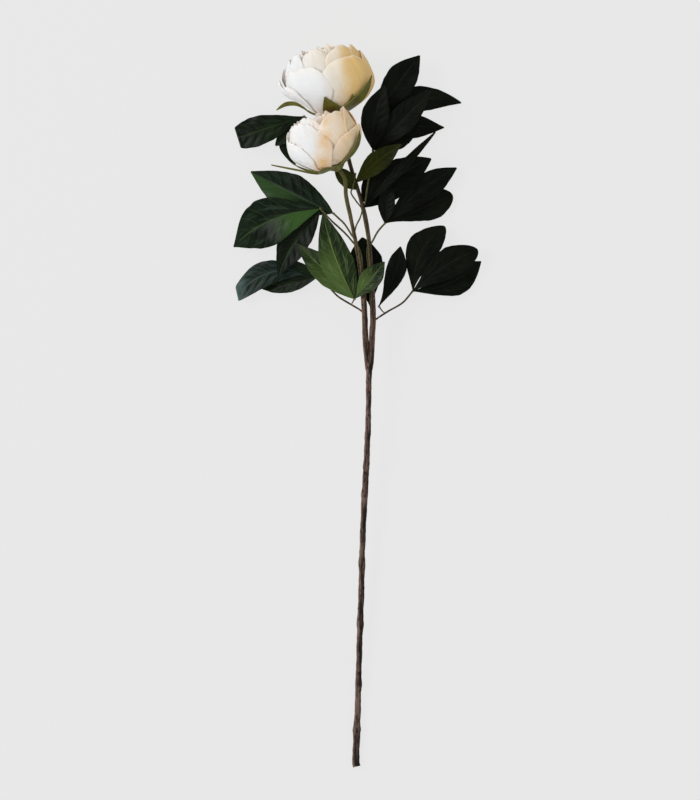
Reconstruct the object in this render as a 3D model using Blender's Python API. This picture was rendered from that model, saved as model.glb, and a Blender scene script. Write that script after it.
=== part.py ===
"""Peony stem with two blooms, lying on a surface.

+Y runs from the cut end to the blooms and +Z away from the surface. Sizes and places below are
in millimetres and are turned into metres where the meshes are made. While it is modelled the cut
end is near the origin; at the end the whole spray is moved so that the bottom centre of its
bounding box is there.
"""

from math import cos, pi, radians, sin

import bpy
import numpy as np
from mathutils import Vector

MM = 0.001

# Overall sizes. The layout scale spreads the places of all pieces and leaves their own sizes.
LAYOUT_SCALE = 1.0
UPPER_BLOOM_RADIUS = 49.5
UPPER_BLOOM_HEIGHT = 68.0
LOWER_BLOOM_RADIUS = 38.5
LOWER_BLOOM_HEIGHT = 55.0

SEAT_GAP = 0.3  # left between two pieces that touch

# Stems and stalks
CUT_END_RADIUS = 3.9
MAIN_RADIUS = 3.1
FORK_RADIUS = 3.2
BLOOM_STEM_RADIUS = 2.1
STALK_RADIUS = 1.0
KNOB_RADIUS = 2.2
NODE_SWELL = 1.18  # how much thicker the stem is at a node
NODE_PLACES = (39, 86, 287, 317, 349)  # distances of the nodes from the cut end
STEM_STEP = 15.0
STALK_STEP = 5.5
STRAIGHT_END = 11.0  # run of a bloom's stem in line with its calyx

# Leaves and petals
LEAF_THICKNESS = 0.6
LEAF_NECK = 0.7  # half width where a leaf leaves its stalk
PETAL_THICKNESS = 0.6
THIN_PETAL = 0.6  # thickness at which each ring of petals starts at the same height
PETAL_LEVEL = 3  # how much higher the next ring starts, for each millimetre of thickness above that
SEPAL_THICKNESS = 0.8
HOOK_RADIUS = 5.0  # bend of a leaf tip that turns down

# Centre lines: x, y, z of hand-placed points, joined by a smooth curve.
MAIN_STEM = [
    (-1, 0, 3.9), (-1.6, 10, 4.4), (0.5, 73, 8.6), (2, 125, 12.4), (3.7, 178, 16), (5, 230, 19.6),
    (7.3, 282, 23), (9.4, 324, 26), (11.2, 366, 29), (12, 424, 32.6),
]
# The stems of the two blooms start side by side. Each ends at the calyx of its bloom.
FORK_X = 12.05
HALF_FORK = (BLOOM_STEM_RADIUS + SEAT_GAP / 2) / LAYOUT_SCALE
LOWER_BLOOM_STEM = [
    (FORK_X - HALF_FORK, 424.6, 32.8), (7.6, 452, 35.2), (6.4, 481, 38), (1, 533, 45.6), (-7.3, 575, 55),
    (-12, 597, 64.4),
]
UPPER_BLOOM_STEM = [
    (FORK_X + HALF_FORK, 424.6, 32.8), (15.6, 452, 34), (16.7, 481, 35.4), (11.7, 554, 37.6),
    (5.2, 588, 38.4), (-5.2, 622, 38), (-11, 643, 36), (-15, 658, 36),
]

# Each stalk: the stem it grows from and how far up, its centre line from there, and a short
# branch where it has one. A knob sits at each end, and at any other point named in knobs.
STALKS = {
    "top_left": {
        "on": ("upper_bloom_stem", 640),
        "line": [(-24, 655, 30), (-40, 670, 26), (-56, 682, 29.2 - KNOB_RADIUS)],
    },
    "middle_left_upper": {
        "on": ("lower_bloom_stem", 558),
        "line": [(-14, 569, 46), (-20, 575, 41), (-25, 580, 36)],
    },
    "middle_left_lower": {
        "on": ("lower_bloom_stem", 550),
        "line": [(-14, 560, 45), (-28, 573, 42.5), (-39, 585, 41)],
    },
    "low_left": {
        "on": ("lower_bloom_stem", 478.6),
        "line": [(-7, 485, 37), (-21, 494, 33.5), (-33, 507, 28), (-41, 515, 24)],
        "branch": [(-6.4, 484.6, 37), (-5.4, 487, 41), (-3.4, 490.5, 44.6)],
    },
    "low_right": {
        "on": ("upper_bloom_stem", 470),
        "line": [(32, 478, 32), (47, 487, 27), (57.5, 499, 23)],
        "branch": [(29, 476.2, 32.8), (26, 478, 34.6), (22.4, 483, 36.4)],
    },
    "middle_right": {
        "on": ("upper_bloom_stem", 550),
        "line": [(21, 561, 35), (28.6, 570, 32.6)],
    },
    "top_right": {
        "on": ("upper_bloom_stem", 590),
        "line": [(11, 612, 39.6), (15, 630, 39.4), (16, 646, 38), (16.6, 662, 33.6), (16, 674, 30.4)],
        "knobs": [2],
    },
}

# Each leaf: the knob (a stalk or a twig and which of its knobs) or the stem (and how far up) that it
# grows from and how far above the middle of that, its tip, its full width, how high its middle
# arches, how far it bends to its left, its fold along the midrib and its roll about it (degrees),
# where it is widest (0 the foot, 1 the tip), how blunt its tip is, and how much of it turns down.
LEAVES = {
    "top_left_1": dict(on=("top_left", -1), rise=0.8, tip=(-126, 660, 23), width=31, arch=3, blunt=0.7,
                       widest=0.6, hook=13),
    "top_left_2": dict(on=("top_left", -1), rise=-0.8, tip=(-86, 652, 18), width=17, fold=12),
    "top_left_3": dict(on=("top_left", -1), rise=-2.3, tip=(-66, 632, 4), width=13, roll=25, side=-9),
    "middle_left_1": dict(on=("middle_left_upper", -1), rise=0.4, tip=(-112, 625, 12), width=40, arch=1,
                          roll=-8, blunt=-0.3, side=1),
    "middle_left_2": dict(on=("middle_left_lower", -1), rise=0.9, tip=(-130, 546, 14), width=50, arch=13,
                          fold=8, blunt=-0.5, widest=0.54, side=-9),
    "middle_left_3": dict(on=("middle_left_lower", -1), rise=-0.9, tip=(-83, 515, 31), width=32, arch=-2,
                          fold=10, blunt=-0.3, side=-5),
    "low_left_1": dict(on=("low_left", -1), rise=0.2, tip=(-127, 496, 15), width=27, arch=3, blunt=0.3,
                       widest=0.6, side=-15, hook=11),
    "low_left_2": dict(on=("low_left", -1), rise=-1.4, tip=(-109, 506, 5), width=20, arch=1, fold=8,
                       blunt=-0.3, side=3),
    "low_left_3": dict(on=("low_left", -1), rise=1.6, tip=(-78, 532, 29), width=12, arch=2, roll=30),
    "front_1": dict(on=("low_left_twig", -1), rise=0.6, tip=(-63, 548, 38), width=26, arch=2, fold=8,
                    blunt=-0.4),
    "front_2": dict(on=("low_left_twig", -1), rise=1.2, tip=(-36, 580, 57), width=34, arch=2, fold=10,
                    blunt=-0.3, widest=0.44, side=4),
    "front_3": dict(on=("low_left_twig", -1), rise=0.8, tip=(28, 529, 52), width=22, arch=2, fold=12,
                    blunt=-0.4, widest=0.56),
    "behind_1": dict(on=("upper_bloom_stem", 483), rise=-1.6, tip=(5, 556, 14), width=36, arch=-3, fold=5,
                     widest=0.62),
    "behind_2": dict(on=("low_right_twig", -1), rise=0.4, tip=(45, 546, 22), width=21, arch=1, fold=8,
                     blunt=-0.2, widest=0.62, side=-4),
    "low_right_1": dict(on=("low_right", -1), rise=0.4, tip=(91, 568, 12), width=34, arch=3, fold=5,
                        blunt=0.35, side=10, widest=0.6),
    "low_right_2": dict(on=("low_right", -1), rise=1.6, tip=(126, 543, 17), width=32, arch=4, fold=5,
                        blunt=0.5, side=4, widest=0.62),
    "low_right_3": dict(on=("low_right", -1), rise=-0.9, tip=(130, 531, 0.3), width=31, arch=0, fold=5,
                        blunt=-0.3, widest=0.62, side=-8),
    "middle_right_1": dict(on=("middle_right", -1), rise=1.6, tip=(32, 613, 41), width=18, arch=0,
                           fold=12),
    "middle_right_2": dict(on=("middle_right", -1), rise=0.2, tip=(104, 629, 12), width=28, arch=2,
                           fold=6, blunt=-0.2, widest=0.58, side=4),
    "middle_right_3": dict(on=("middle_right", -1), rise=-1.2, tip=(100, 601, 4), width=31, arch=-1,
                           fold=5, blunt=0.55, widest=0.68, side=-1),
    "right_1": dict(on=("upper_bloom_stem", 587), rise=-0.6, tip=(77, 638, 24), width=38, arch=-2, fold=3,
                    side=5),
    "right_2": dict(on=("upper_bloom_stem", 587), rise=1.9, tip=(81, 664, 56), width=15, arch=2, roll=50),
    "right_3": dict(on=("upper_bloom_stem", 593), rise=-1.8, tip=(17, 630, 20), width=14, arch=0, fold=10),
    "single": dict(on=("upper_bloom_stem", 613), rise=1.8, tip=(45, 651, 60), width=22, arch=1, fold=10,
                   blunt=-0.3, widest=0.52, side=2),
    "upper_right_1": dict(on=("top_right", 2), rise=0.6, tip=(77, 709, 45), width=28, arch=3, fold=8,
                          blunt=-0.3),
    "upper_right_2": dict(on=("top_right", 2), rise=-0.9, tip=(66, 680, 29), width=31, arch=-1, fold=6,
                          blunt=-0.3),
    "upper_right_3": dict(on=("top_right", 2), rise=1.4, tip=(28, 713, 52), width=24, arch=2, fold=10,
                          blunt=-0.2),
    "top_right_1": dict(on=("top_right", -1), rise=0.8, tip=(65, 746, 25), width=32, arch=3, fold=6,
                        blunt=-0.3, widest=0.6, side=2),
    "top_right_2": dict(on=("top_right", -1), rise=-0.6, tip=(109, 698, 4), width=28, arch=1, fold=6,
                        side=14),
    "top_right_3": dict(on=("top_right", -1), rise=-1.8, tip=(91, 672, 2), width=26, arch=-2, fold=6,
                        blunt=-0.4),
    "bract": dict(on=("upper_bloom_stem", 607), rise=1.9, tip=(-24, 628, 50), width=16, arch=1, fold=10),
}

# Each bloom: the foot of its petals, its heading (degrees left of +Y) and lift (degrees up from
# the surface), height and radius, how flat it lies, and its petals, ring by ring, from the
# outside in. A sepal's place is the angle from the bloom's front to its right.
BLOOMS = {
    "upper": {
        "foot": (-22.5, 684, 38.4), "heading": 16, "lift": 6, "flat": 0.81,
        "height": UPPER_BLOOM_HEIGHT, "radius": UPPER_BLOOM_RADIUS, "stem": "upper_bloom_stem",
        "rings": [
            dict(count=5, first=-40, span=98, reach=0.86, inset=0.0, foot=6.0),
            dict(count=3, first=5, span=150, reach=0.95, inset=3.0 + 6 * PETAL_THICKNESS, foot=3.0,
                 level=PETAL_LEVEL),
        ],
        "heart": dict(inset=5.6 + 12 * PETAL_THICKNESS, reach=0.9, dome=7.0, foot=1.4),
        "sepals": [
            dict(around=-96, length=62, width=8, spread=14),
            dict(around=-66, length=40, width=12, spread=2),
            dict(around=-8, length=42, width=17, spread=0.8),
            dict(around=25, length=38, width=11, spread=0.6),
            dict(around=54, length=60, width=20, spread=4),
            dict(around=176, length=36, width=14, spread=1),
        ],
    },
    "lower": {
        "foot": (-22, 629, 76.6), "heading": 30, "lift": 13, "flat": 0.88,
        "height": LOWER_BLOOM_HEIGHT, "radius": LOWER_BLOOM_RADIUS, "stem": "lower_bloom_stem",
        "rings": [
            dict(count=4, first=42, span=118, reach=0.88, inset=0.0, foot=5.4, lean=0.24),
            dict(count=3, first=-20, span=150, reach=0.97, inset=2.2 + 6 * PETAL_THICKNESS, foot=2.6,
                 level=PETAL_LEVEL),
        ],
        "heart": dict(inset=4.2 + 12 * PETAL_THICKNESS, reach=0.9, dome=5.0, foot=1.2),
        "sepals": [
            dict(around=-92, length=76, width=4, spread=22),
            dict(around=-74, length=52, width=12, spread=3),
            dict(around=-34, length=27, width=18, spread=1),
            dict(around=54, length=48, width=15, spread=3),
            dict(around=170, length=30, width=12, spread=1),
        ],
    },
}
CALYX_FLARE = 2.8  # how far the sepals stand outside the outer petals
CALYX_DEPTH = 7.0
CALYX_NECK = 2.4
CALYX_LIP = 1.2  # how far the bowl stands outside the sepals
SEPAL_SINK = 2.8  # depth at which a sepal starts in the bowl
SEPAL_TUCK = 2.4  # how much nearer the middle it starts there
SEPAL_TIP = 0.5  # half width of a sepal's tip
PINWHEEL = 0.1 + 2 * PETAL_THICKNESS  # one edge of each petal lies this far outside its neighbour
RUFFLE = 0.7  # wave of a petal's rim
CORNER_DROP = 0.2  # share by which a petal's rim is lower at its edges
CORNER_CURVE = 2.5
CUP_TURN = 0.72  # how far round its half circle the side of the cup goes
CUP_EASE = 0.5
HEART_WAVE = 0.5  # share by which the heart's dome rises and falls
HEART_WAVES = 4
PETAL_STEP = 15  # degrees between the points across a petal

BARK = ((0.055, 0.035, 0.024, 1), 0.62)
STALK_GREEN = ((0.10, 0.13, 0.05, 1), 0.5)
LEAF_GREEN = ((0.020, 0.040, 0.014, 1), 0.42)
BRACT_OLIVE = ((0.12, 0.13, 0.02, 1), 0.5)
CREAM = ((0.86, 0.76, 0.64, 1), 0.6)


def new_material(name, finish):
    """A Principled material with one colour and roughness."""
    colour, roughness = finish
    material = bpy.data.materials.new(name)
    material.use_nodes = True
    shader = material.node_tree.nodes["Principled BSDF"]
    shader.inputs["Base Color"].default_value = colour
    shader.inputs["Roughness"].default_value = roughness
    shader.inputs["Metallic"].default_value = 0.0
    return material


def add_object(name, data, finish, root):
    piece = bpy.data.objects.new(name, data)
    bpy.context.scene.collection.objects.link(piece)
    piece.parent = root
    data.materials.append(new_material(name + "_finish", finish))
    return piece


def mesh_from(name, points, faces):
    """A smooth mesh from points in millimetres."""
    mesh = bpy.data.meshes.new(name)
    mesh.from_pydata((np.asarray(points) * MM).tolist(), [], faces)
    mesh.validate()
    mesh.shade_smooth()
    return mesh


def grid_faces(rows, columns):
    """Quads of an open grid whose points run along each row in turn."""
    return [
        (r * columns + c, r * columns + c + 1, (r + 1) * columns + c + 1, (r + 1) * columns + c)
        for r in range(rows - 1)
        for c in range(columns - 1)
    ]


def turned_faces(rings, columns):
    """Faces of a closed shape of rings, first to last, with a point before them and a point after."""
    end = 1 + rings * columns
    faces = []
    for c in range(columns):
        d = (c + 1) % columns
        faces.append((0, 1 + d, 1 + c))
        faces.append((end, end - columns + c, end - columns + d))
        for r in range(rings - 1):
            low, high = 1 + r * columns, 1 + (r + 1) * columns
            faces.append((low + c, low + d, high + d, high + c))
    return faces


def sheet(name, grid, thickness, finish, root):
    """An open grid of points (rows, columns, 3) given a thickness to both sides."""
    rows, columns = grid.shape[:2]
    mesh = mesh_from(name, grid.reshape(-1, 3), grid_faces(rows, columns))
    piece = add_object(name, mesh, finish, root)
    solid = piece.modifiers.new("thickness", "SOLIDIFY")
    solid.thickness = thickness * MM
    solid.offset = 0.0
    return piece


def smooth_line(points, step):
    """Catmull-Rom curve through the points, read about every step."""
    p = np.array([points[0], *points, points[-1]], float)
    line = []
    for i in range(1, len(p) - 2):
        a, b, c, d = p[i - 1:i + 3]
        count = max(2, round(float(np.linalg.norm(c - b)) / step))
        for k in range(count):
            t = k / count
            line.append(0.5 * (2 * b + (c - a) * t + (2 * a - 5 * b + 4 * c - d) * t * t
                               + (3 * b - a - 3 * c + d) * t ** 3))
    line.append(p[-2])
    return np.array(line)


def tube(name, line, radii, finish, root):
    """A closed tube along a line, with a radius at each point."""
    curve = bpy.data.curves.new(name, "CURVE")
    curve.dimensions = "3D"
    curve.bevel_depth = 1.0 * MM
    curve.bevel_resolution = 2
    curve.use_fill_caps = True
    spline = curve.splines.new("POLY")
    spline.points.add(len(line) - 1)
    for point, place, radius in zip(spline.points, line, radii):
        point.co = (*(place * MM), 1.0)
        point.radius = radius
    spline.use_smooth = True
    return add_object(name, curve, finish, root)


def ball(name, centre, radius, root):
    """A round knob, used to join a stalk's end."""
    rings, columns = 5, 8
    rise = np.pi * np.arange(1, rings + 1) / (rings + 1)
    around = 2 * np.pi * np.arange(columns) / columns
    x, y = np.outer(np.sin(rise), np.cos(around)), np.outer(np.sin(rise), np.sin(around))
    z = -np.outer(np.cos(rise), np.ones(columns))
    points = [(0, 0, -1), *np.stack([x, y, z], axis=-1).reshape(-1, 3), (0, 0, 1)]
    mesh = mesh_from(name, np.array(points) * radius + centre, turned_faces(rings, columns))
    return add_object(name, mesh, STALK_GREEN, root)


def join(piece, helpers):
    """Boolean union of a piece with its helpers, which aren't built themselves."""
    for helper in helpers:
        helper.hide_render = True
        helper.display_type = "WIRE"
        union = piece.modifiers.new("join_" + helper.name, "BOOLEAN")
        union.operation = "UNION"
        union.solver = "EXACT"
        union.object = helper


def as_mesh(piece):
    """The curve object's own surface as a mesh object with the same name."""
    depsgraph = bpy.context.evaluated_depsgraph_get()
    mesh = bpy.data.meshes.new_from_object(piece.evaluated_get(depsgraph))
    name, root = piece.name, piece.parent
    bpy.data.objects.remove(piece)
    solid = bpy.data.objects.new(name, mesh)
    bpy.context.scene.collection.objects.link(solid)
    solid.parent = root
    return solid


def placed(points):
    """Points on the stems and leaves, scaled along the spray about the cut end."""
    return [tuple(LAYOUT_SCALE * v for v in p) for p in points]


def stem_radii(line, start, end):
    """Radius at each point: even taper, thicker at the nodes."""
    along = line[:, 1] / LAYOUT_SCALE
    radii = np.interp(along, [0, 70, 300, 395, 416], [start, MAIN_RADIUS, MAIN_RADIUS, end * 0.88, end])
    for place in NODE_PLACES:
        radii = radii * (1 + (NODE_SWELL - 1) * np.exp(-(((along - place) / 7) ** 2)))
    return radii


def beside(line, way_up, radius, half_width, toward, rise=0.0):
    """The place on a stem's side, way_up along +Y, for something of that half width that leaves
    towards a point."""
    centre = np.array([np.interp(way_up * LAYOUT_SCALE, line[:, 1], line[:, k]) for k in range(3)])
    near = np.argmin(np.abs(line[:, 1] - centre[1]))
    axis = line[min(near + 1, len(line) - 1)] - line[max(near - 1, 0)]
    axis /= np.linalg.norm(axis)
    ahead = np.array(toward) - centre
    ahead /= np.linalg.norm(ahead)
    out = ahead - axis * (ahead @ axis)
    out[2] = 0
    out /= np.linalg.norm(out)
    reach = radius + SEAT_GAP + half_width * abs(ahead @ axis)
    up = min(rise / reach, 0.95)
    return centre + reach * (out * (1 - up * up) ** 0.5 + np.array((0, 0, up)))


def build_stems(root):
    """The stems, and their centre lines by name."""
    line = smooth_line(placed(MAIN_STEM), STEM_STEP)
    tube("main_stem", line, stem_radii(line, CUT_END_RADIUS, FORK_RADIUS), BARK, root)
    lines = {}
    routes = {"lower_bloom_stem": LOWER_BLOOM_STEM, "upper_bloom_stem": UPPER_BLOOM_STEM}
    for bloom in BLOOMS.values():
        foot, along, _, _ = bloom_axes(bloom)
        name = bloom["stem"]
        ends = [tuple(foot - (CALYX_DEPTH + SEAT_GAP + back) * along) for back in (STRAIGHT_END, 0)]
        lines[name] = smooth_line([*placed(routes[name]), *ends], STEM_STEP)
        tube(name, lines[name], np.full(len(lines[name]), BLOOM_STEM_RADIUS), BARK, root)
    return lines


def build_stalk(name, plan, lines, root):
    """A stalk with its knobs, and its branch with a knob, as one solid. Returns the knobs' places."""
    stem, way_up = plan["on"]
    points = placed(plan["line"])
    start = beside(lines[stem], way_up, BLOOM_STEM_RADIUS, STALK_RADIUS, points[0])
    line = smooth_line([tuple(start), *points], STALK_STEP)
    stalk = tube("stalk_" + name, line, np.full(len(line), STALK_RADIUS), STALK_GREEN, root)
    knobs = {(name, k): points[k] for k in [*plan.get("knobs", []), -1]}
    helpers = []
    if "branch" in plan:
        twig_points = placed(plan["branch"])
        twig_line = smooth_line(twig_points, STALK_STEP)
        twig = tube("twig_" + name, twig_line, np.full(len(twig_line), STALK_RADIUS), STALK_GREEN, root)
        helpers.append(as_mesh(twig))
        knobs[(name + "_twig", -1)] = twig_points[-1]
    helpers += [ball(f"knob_{stalk_name}_{k}", place, KNOB_RADIUS, root)
                for (stalk_name, k), place in knobs.items()]
    join(as_mesh(stalk), helpers)
    return knobs


def leaf_foot(plan, tip, lines, knobs):
    """Where a leaf starts: just clear of its knob, or of its stem."""
    place, where = plan["on"]
    if place in lines:
        return beside(lines[place], where, BLOOM_STEM_RADIUS + LEAF_THICKNESS / 2, LEAF_NECK, tip,
                      plan["rise"])
    centre = np.array(knobs[(place, where)])
    ahead = (tip - centre) * (1, 1, 0)
    reach = KNOB_RADIUS + SEAT_GAP + LEAF_THICKNESS / 2
    rise = plan["rise"]
    return centre + ahead / np.linalg.norm(ahead) * (reach ** 2 - rise ** 2) ** 0.5 + np.array((0, 0, rise))


def leaf_grid(plan, lines, knobs, rows=9, columns=5):
    """Points of a leaf: a midrib from foot to tip that arches, bends sideways and may turn down at
    its tip, with a half width that rises and falls along it, folded and rolled about it."""
    tip = np.array(placed([plan["tip"]])[0])
    foot = leaf_foot(plan, tip, lines, knobs)
    length = float(np.linalg.norm(tip - foot))
    ahead = (tip - foot) / length
    across = np.cross(ahead, (0, 0, 1))
    across /= np.linalg.norm(across)
    up = np.cross(across, ahead)
    hook = plan.get("hook", 0)
    run = np.linspace(0, 1, rows) * (length + hook)
    if hook:
        past = np.clip(run - (length - HOOK_RADIUS), 0, None)
        turn = np.clip(past / HOOK_RADIUS, 0, pi / 2)
        forward = np.minimum(run, length - HOOK_RADIUS) + HOOK_RADIUS * np.sin(turn)
        down = HOOK_RADIUS * (1 - np.cos(turn)) + np.clip(past - HOOK_RADIUS * pi / 2, 0, None)
    else:
        forward, down = run, np.zeros(rows)
    s = forward / length
    rise = 4 * s * (1 - s)
    midrib = (foot + forward[:, None] * ahead + (rise * plan.get("arch", 0) - down)[:, None] * up
              - (rise * plan.get("side", 0))[:, None] * across)
    q = run / run[-1]
    peak = plan.get("widest", 0.5)
    power = np.log(0.5) / np.log(peak)
    swell = np.sin(pi * q ** power) ** (0.9 - 0.5 * plan.get("blunt", 0) * q)
    half = LEAF_NECK + (plan["width"] / 2 - LEAF_NECK) * np.clip(swell, 0, 1)
    roll = radians(plan.get("roll", 0))
    side = cos(roll) * across + sin(roll) * up
    over = cos(roll) * up - sin(roll) * across
    t = np.linspace(-1, 1, columns)
    fold = np.tan(radians(plan.get("fold", 0)))
    spread = half[:, None] * t[None, :]
    return (midrib[:, None, :] + spread[..., None] * side + (np.abs(spread) * fold)[..., None] * over)


def build_leaves(lines, knobs, root):
    for name, plan in LEAVES.items():
        finish = BRACT_OLIVE if name in ("single", "bract") else LEAF_GREEN
        sheet("leaf_" + name, leaf_grid(plan, lines, knobs), LEAF_THICKNESS, finish, root)


def bloom_axes(plan):
    """Foot of the petals, and unit vectors along the bloom, to its front and to its right."""
    heading, lift = radians(plan["heading"]), radians(plan["lift"])
    along = np.array([-sin(heading) * cos(lift), cos(heading) * cos(lift), sin(lift)])
    right = np.cross(along, (0, 0, 1))
    right /= np.linalg.norm(right)
    front = np.cross(right, along)
    return np.array(placed([plan["foot"]])[0]), along, front * plan["flat"], right


def cup_radius(s, foot, widest):
    """Radius of the cup at a share s of its height: narrow foot, full belly, slightly drawn in rim."""
    return foot + (widest - foot) * np.sin(CUP_TURN * pi * np.clip(s, 0, None) ** CUP_EASE)


def petal_grid(bloom, ring, index, rows=7):
    """A patch of the cup's side. Its rim is lower towards its edges and, by the ring's lean, towards
    the bloom's back. One edge lies outside the other, and a small wave runs along the rim."""
    foot, along, front, right = bloom_axes(bloom)
    columns = 1 + round(ring["span"] / PETAL_STEP)
    v, t = np.linspace(0, 1, rows)[:, None], np.linspace(-1, 1, columns)[None, :]
    s = v * ring["reach"] * (1 - CORNER_DROP * np.abs(t) ** CORNER_CURVE)
    middle = ring["first"] + index * 360 / ring["count"]
    around = np.radians(middle + t * ring["span"] / 2 * (0.5 + 0.5 * np.sqrt(v)))
    s = s * (1 - ring.get("lean", 0) * (1 - np.cos(around)) / 2)
    widest = bloom["radius"] - ring["inset"]
    radius = cup_radius(s, ring["foot"], widest) + PINWHEEL * t * (0.4 + 0.6 * np.sqrt(v))
    radius = radius + RUFFLE * v ** 3 * np.sin(3 * around * ring["count"] / 2)
    height = bloom["height"] * s + ring.get("level", 0) * (PETAL_THICKNESS - THIN_PETAL)
    return (foot + height[..., None] * along + (radius * np.cos(around))[..., None] * front
            + (radius * np.sin(around))[..., None] * right)


def heart_solid(name, bloom, root):
    """The crowded middle of the bloom: the cup's side at a smaller radius, closed by a waved dome."""
    foot, along, front, right = bloom_axes(bloom)
    heart = bloom["heart"]
    columns, side_rows, dome_rows = 20, 8, 4
    around = np.arange(columns) * 2 * pi / columns
    widest = bloom["radius"] - heart["inset"]
    height = bloom["height"]
    rings = []
    for s in np.linspace(0, heart["reach"], side_rows):
        rings.append((np.full(columns, height * s), np.full(columns, cup_radius(s, heart["foot"], widest))))
    rim_height, rim_radius = rings[-1]
    for k in range(1, dome_rows):
        q = k / dome_rows
        wave = 1 + HEART_WAVE * np.sin(HEART_WAVES * around + 3 * q)
        rings.append((rim_height + heart["dome"] * np.sin(pi / 2 * q) * wave, rim_radius * (1 - q)))
    foot = foot + 2 * PETAL_LEVEL * (PETAL_THICKNESS - THIN_PETAL) * along
    points = [foot]
    for rise, radius in rings:
        points += list(foot + rise[:, None] * along + (radius * np.cos(around))[:, None] * front
                       + (radius * np.sin(around))[:, None] * right)
    points.append(foot + (rim_height[0] + heart["dome"]) * along)
    mesh = mesh_from(name, points, turned_faces(len(rings), columns))
    add_object(name, mesh, CREAM, root)


def sepal_grid(bloom, sepal, rows=7, columns=3):
    """A narrow pointed blade that starts inside the calyx, follows the cup and spreads away from it."""
    foot, along, front, right = bloom_axes(bloom)
    v, t = np.linspace(0, 1, rows)[:, None], np.linspace(-1, 1, columns)[None, :]
    outer = bloom["rings"][0]
    height = bloom["height"]
    dense = np.linspace(0, 1, 200)
    widest = bloom["radius"] + CALYX_FLARE
    path_r = cup_radius(dense, outer["foot"] + CALYX_FLARE, widest)
    path_h = height * dense
    travelled = np.concatenate([[0], np.cumsum(np.hypot(np.diff(path_r), np.diff(path_h)))])
    run = v * sepal["length"]
    rise = np.interp(run, travelled, path_h) - SEPAL_SINK * (1 - v) ** 6
    radius = np.interp(run, travelled, path_r) + sepal["spread"] * v ** 2 - SEPAL_TUCK * (1 - v) ** 6
    swell = np.clip(np.sin(pi * (0.22 + 0.78 * v) ** 1.1), 0, 1)
    half = SEPAL_TIP + (sepal["width"] / 2 - SEPAL_TIP) * swell
    around = radians(sepal["around"]) + t * half / radius
    return (foot + (rise + 0 * t)[..., None] * along + (radius * np.cos(around))[..., None] * front
            + (radius * np.sin(around))[..., None] * right)


def build_calyx(name, bloom, root):
    """A small bowl under the petals with the sepals joined to it."""
    foot, along, front, right = bloom_axes(bloom)
    wide = bloom["rings"][0]["foot"] + CALYX_FLARE + CALYX_LIP
    lip = -SEAT_GAP - PETAL_THICKNESS / 2
    profile = [(CALYX_NECK, -CALYX_DEPTH), (1.75 * CALYX_NECK, -0.86 * CALYX_DEPTH),
               (0.75 * wide, -0.55 * CALYX_DEPTH), (wide, lip - 1), (wide - 0.5, lip)]
    columns = 14
    around = np.arange(columns) * 2 * pi / columns
    points = [foot - CALYX_DEPTH * along]
    for radius, rise in profile:
        points += list(foot + rise * along + (radius * np.cos(around))[:, None] * front
                       + (radius * np.sin(around))[:, None] * right)
    points.append(foot + lip * along)
    mesh = mesh_from(name, points, turned_faces(len(profile), columns))
    bowl = add_object(name, mesh, BRACT_OLIVE, root)
    helpers = [
        sheet(f"{name}_sepal_{k}", sepal_grid(bloom, sepal), SEPAL_THICKNESS, BRACT_OLIVE, root)
        for k, sepal in enumerate(bloom["sepals"], 1)
    ]
    join(bowl, helpers)


def build_bloom(which, bloom, root):
    build_calyx(f"{which}_calyx", bloom, root)
    number = 0
    for ring in bloom["rings"]:
        for index in range(ring["count"]):
            number += 1
            sheet(f"{which}_petal_{number}", petal_grid(bloom, ring, index), PETAL_THICKNESS, CREAM, root)
    heart_solid(f"{which}_heart", bloom, root)


def seat_on_surface(root):
    """Moves the spray so that the bottom centre of its box is the origin."""
    bpy.context.view_layer.update()
    depsgraph = bpy.context.evaluated_depsgraph_get()
    corners = []
    for piece in bpy.data.objects:
        if piece.type in ("MESH", "CURVE") and not piece.hide_render:
            shape = piece.evaluated_get(depsgraph)
            mesh = shape.to_mesh()
            co = np.array([v.co for v in mesh.vertices])
            corners += [co.min(0), co.max(0)]
            shape.to_mesh_clear()
    low, high = np.min(corners, axis=0), np.max(corners, axis=0)
    root.location = Vector((-(low[0] + high[0]) / 2, -(low[1] + high[1]) / 2, -low[2]))
    bpy.context.view_layer.update()


def main():
    for old in list(bpy.data.objects):
        bpy.data.objects.remove(old)
    root = bpy.data.objects.new("peony_stem", None)
    bpy.context.scene.collection.objects.link(root)
    lines = build_stems(root)
    knobs = {}
    for name, plan in STALKS.items():
        knobs.update(build_stalk(name, plan, lines, root))
    build_leaves(lines, knobs, root)
    for which, bloom in BLOOMS.items():
        build_bloom(which, bloom, root)
    seat_on_surface(root)


main()
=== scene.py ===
from math import cos, pi, radians, sin

import bpy
import numpy as np
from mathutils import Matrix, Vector


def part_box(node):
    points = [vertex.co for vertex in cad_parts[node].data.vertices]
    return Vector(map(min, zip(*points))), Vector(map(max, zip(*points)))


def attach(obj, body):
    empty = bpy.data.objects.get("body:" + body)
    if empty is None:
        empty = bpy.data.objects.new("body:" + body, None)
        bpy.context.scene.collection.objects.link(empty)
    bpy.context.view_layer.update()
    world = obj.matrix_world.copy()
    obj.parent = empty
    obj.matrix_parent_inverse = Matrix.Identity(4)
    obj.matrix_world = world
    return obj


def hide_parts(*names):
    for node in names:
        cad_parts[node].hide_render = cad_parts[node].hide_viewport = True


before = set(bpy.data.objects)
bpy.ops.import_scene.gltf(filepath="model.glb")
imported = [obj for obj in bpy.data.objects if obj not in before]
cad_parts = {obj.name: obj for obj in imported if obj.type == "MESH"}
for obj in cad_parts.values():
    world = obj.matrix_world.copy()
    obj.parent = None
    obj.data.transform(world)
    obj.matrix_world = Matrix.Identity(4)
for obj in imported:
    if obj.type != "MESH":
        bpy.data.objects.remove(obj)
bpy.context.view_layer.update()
mm = 0.001  # a millimetre in metres


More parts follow.
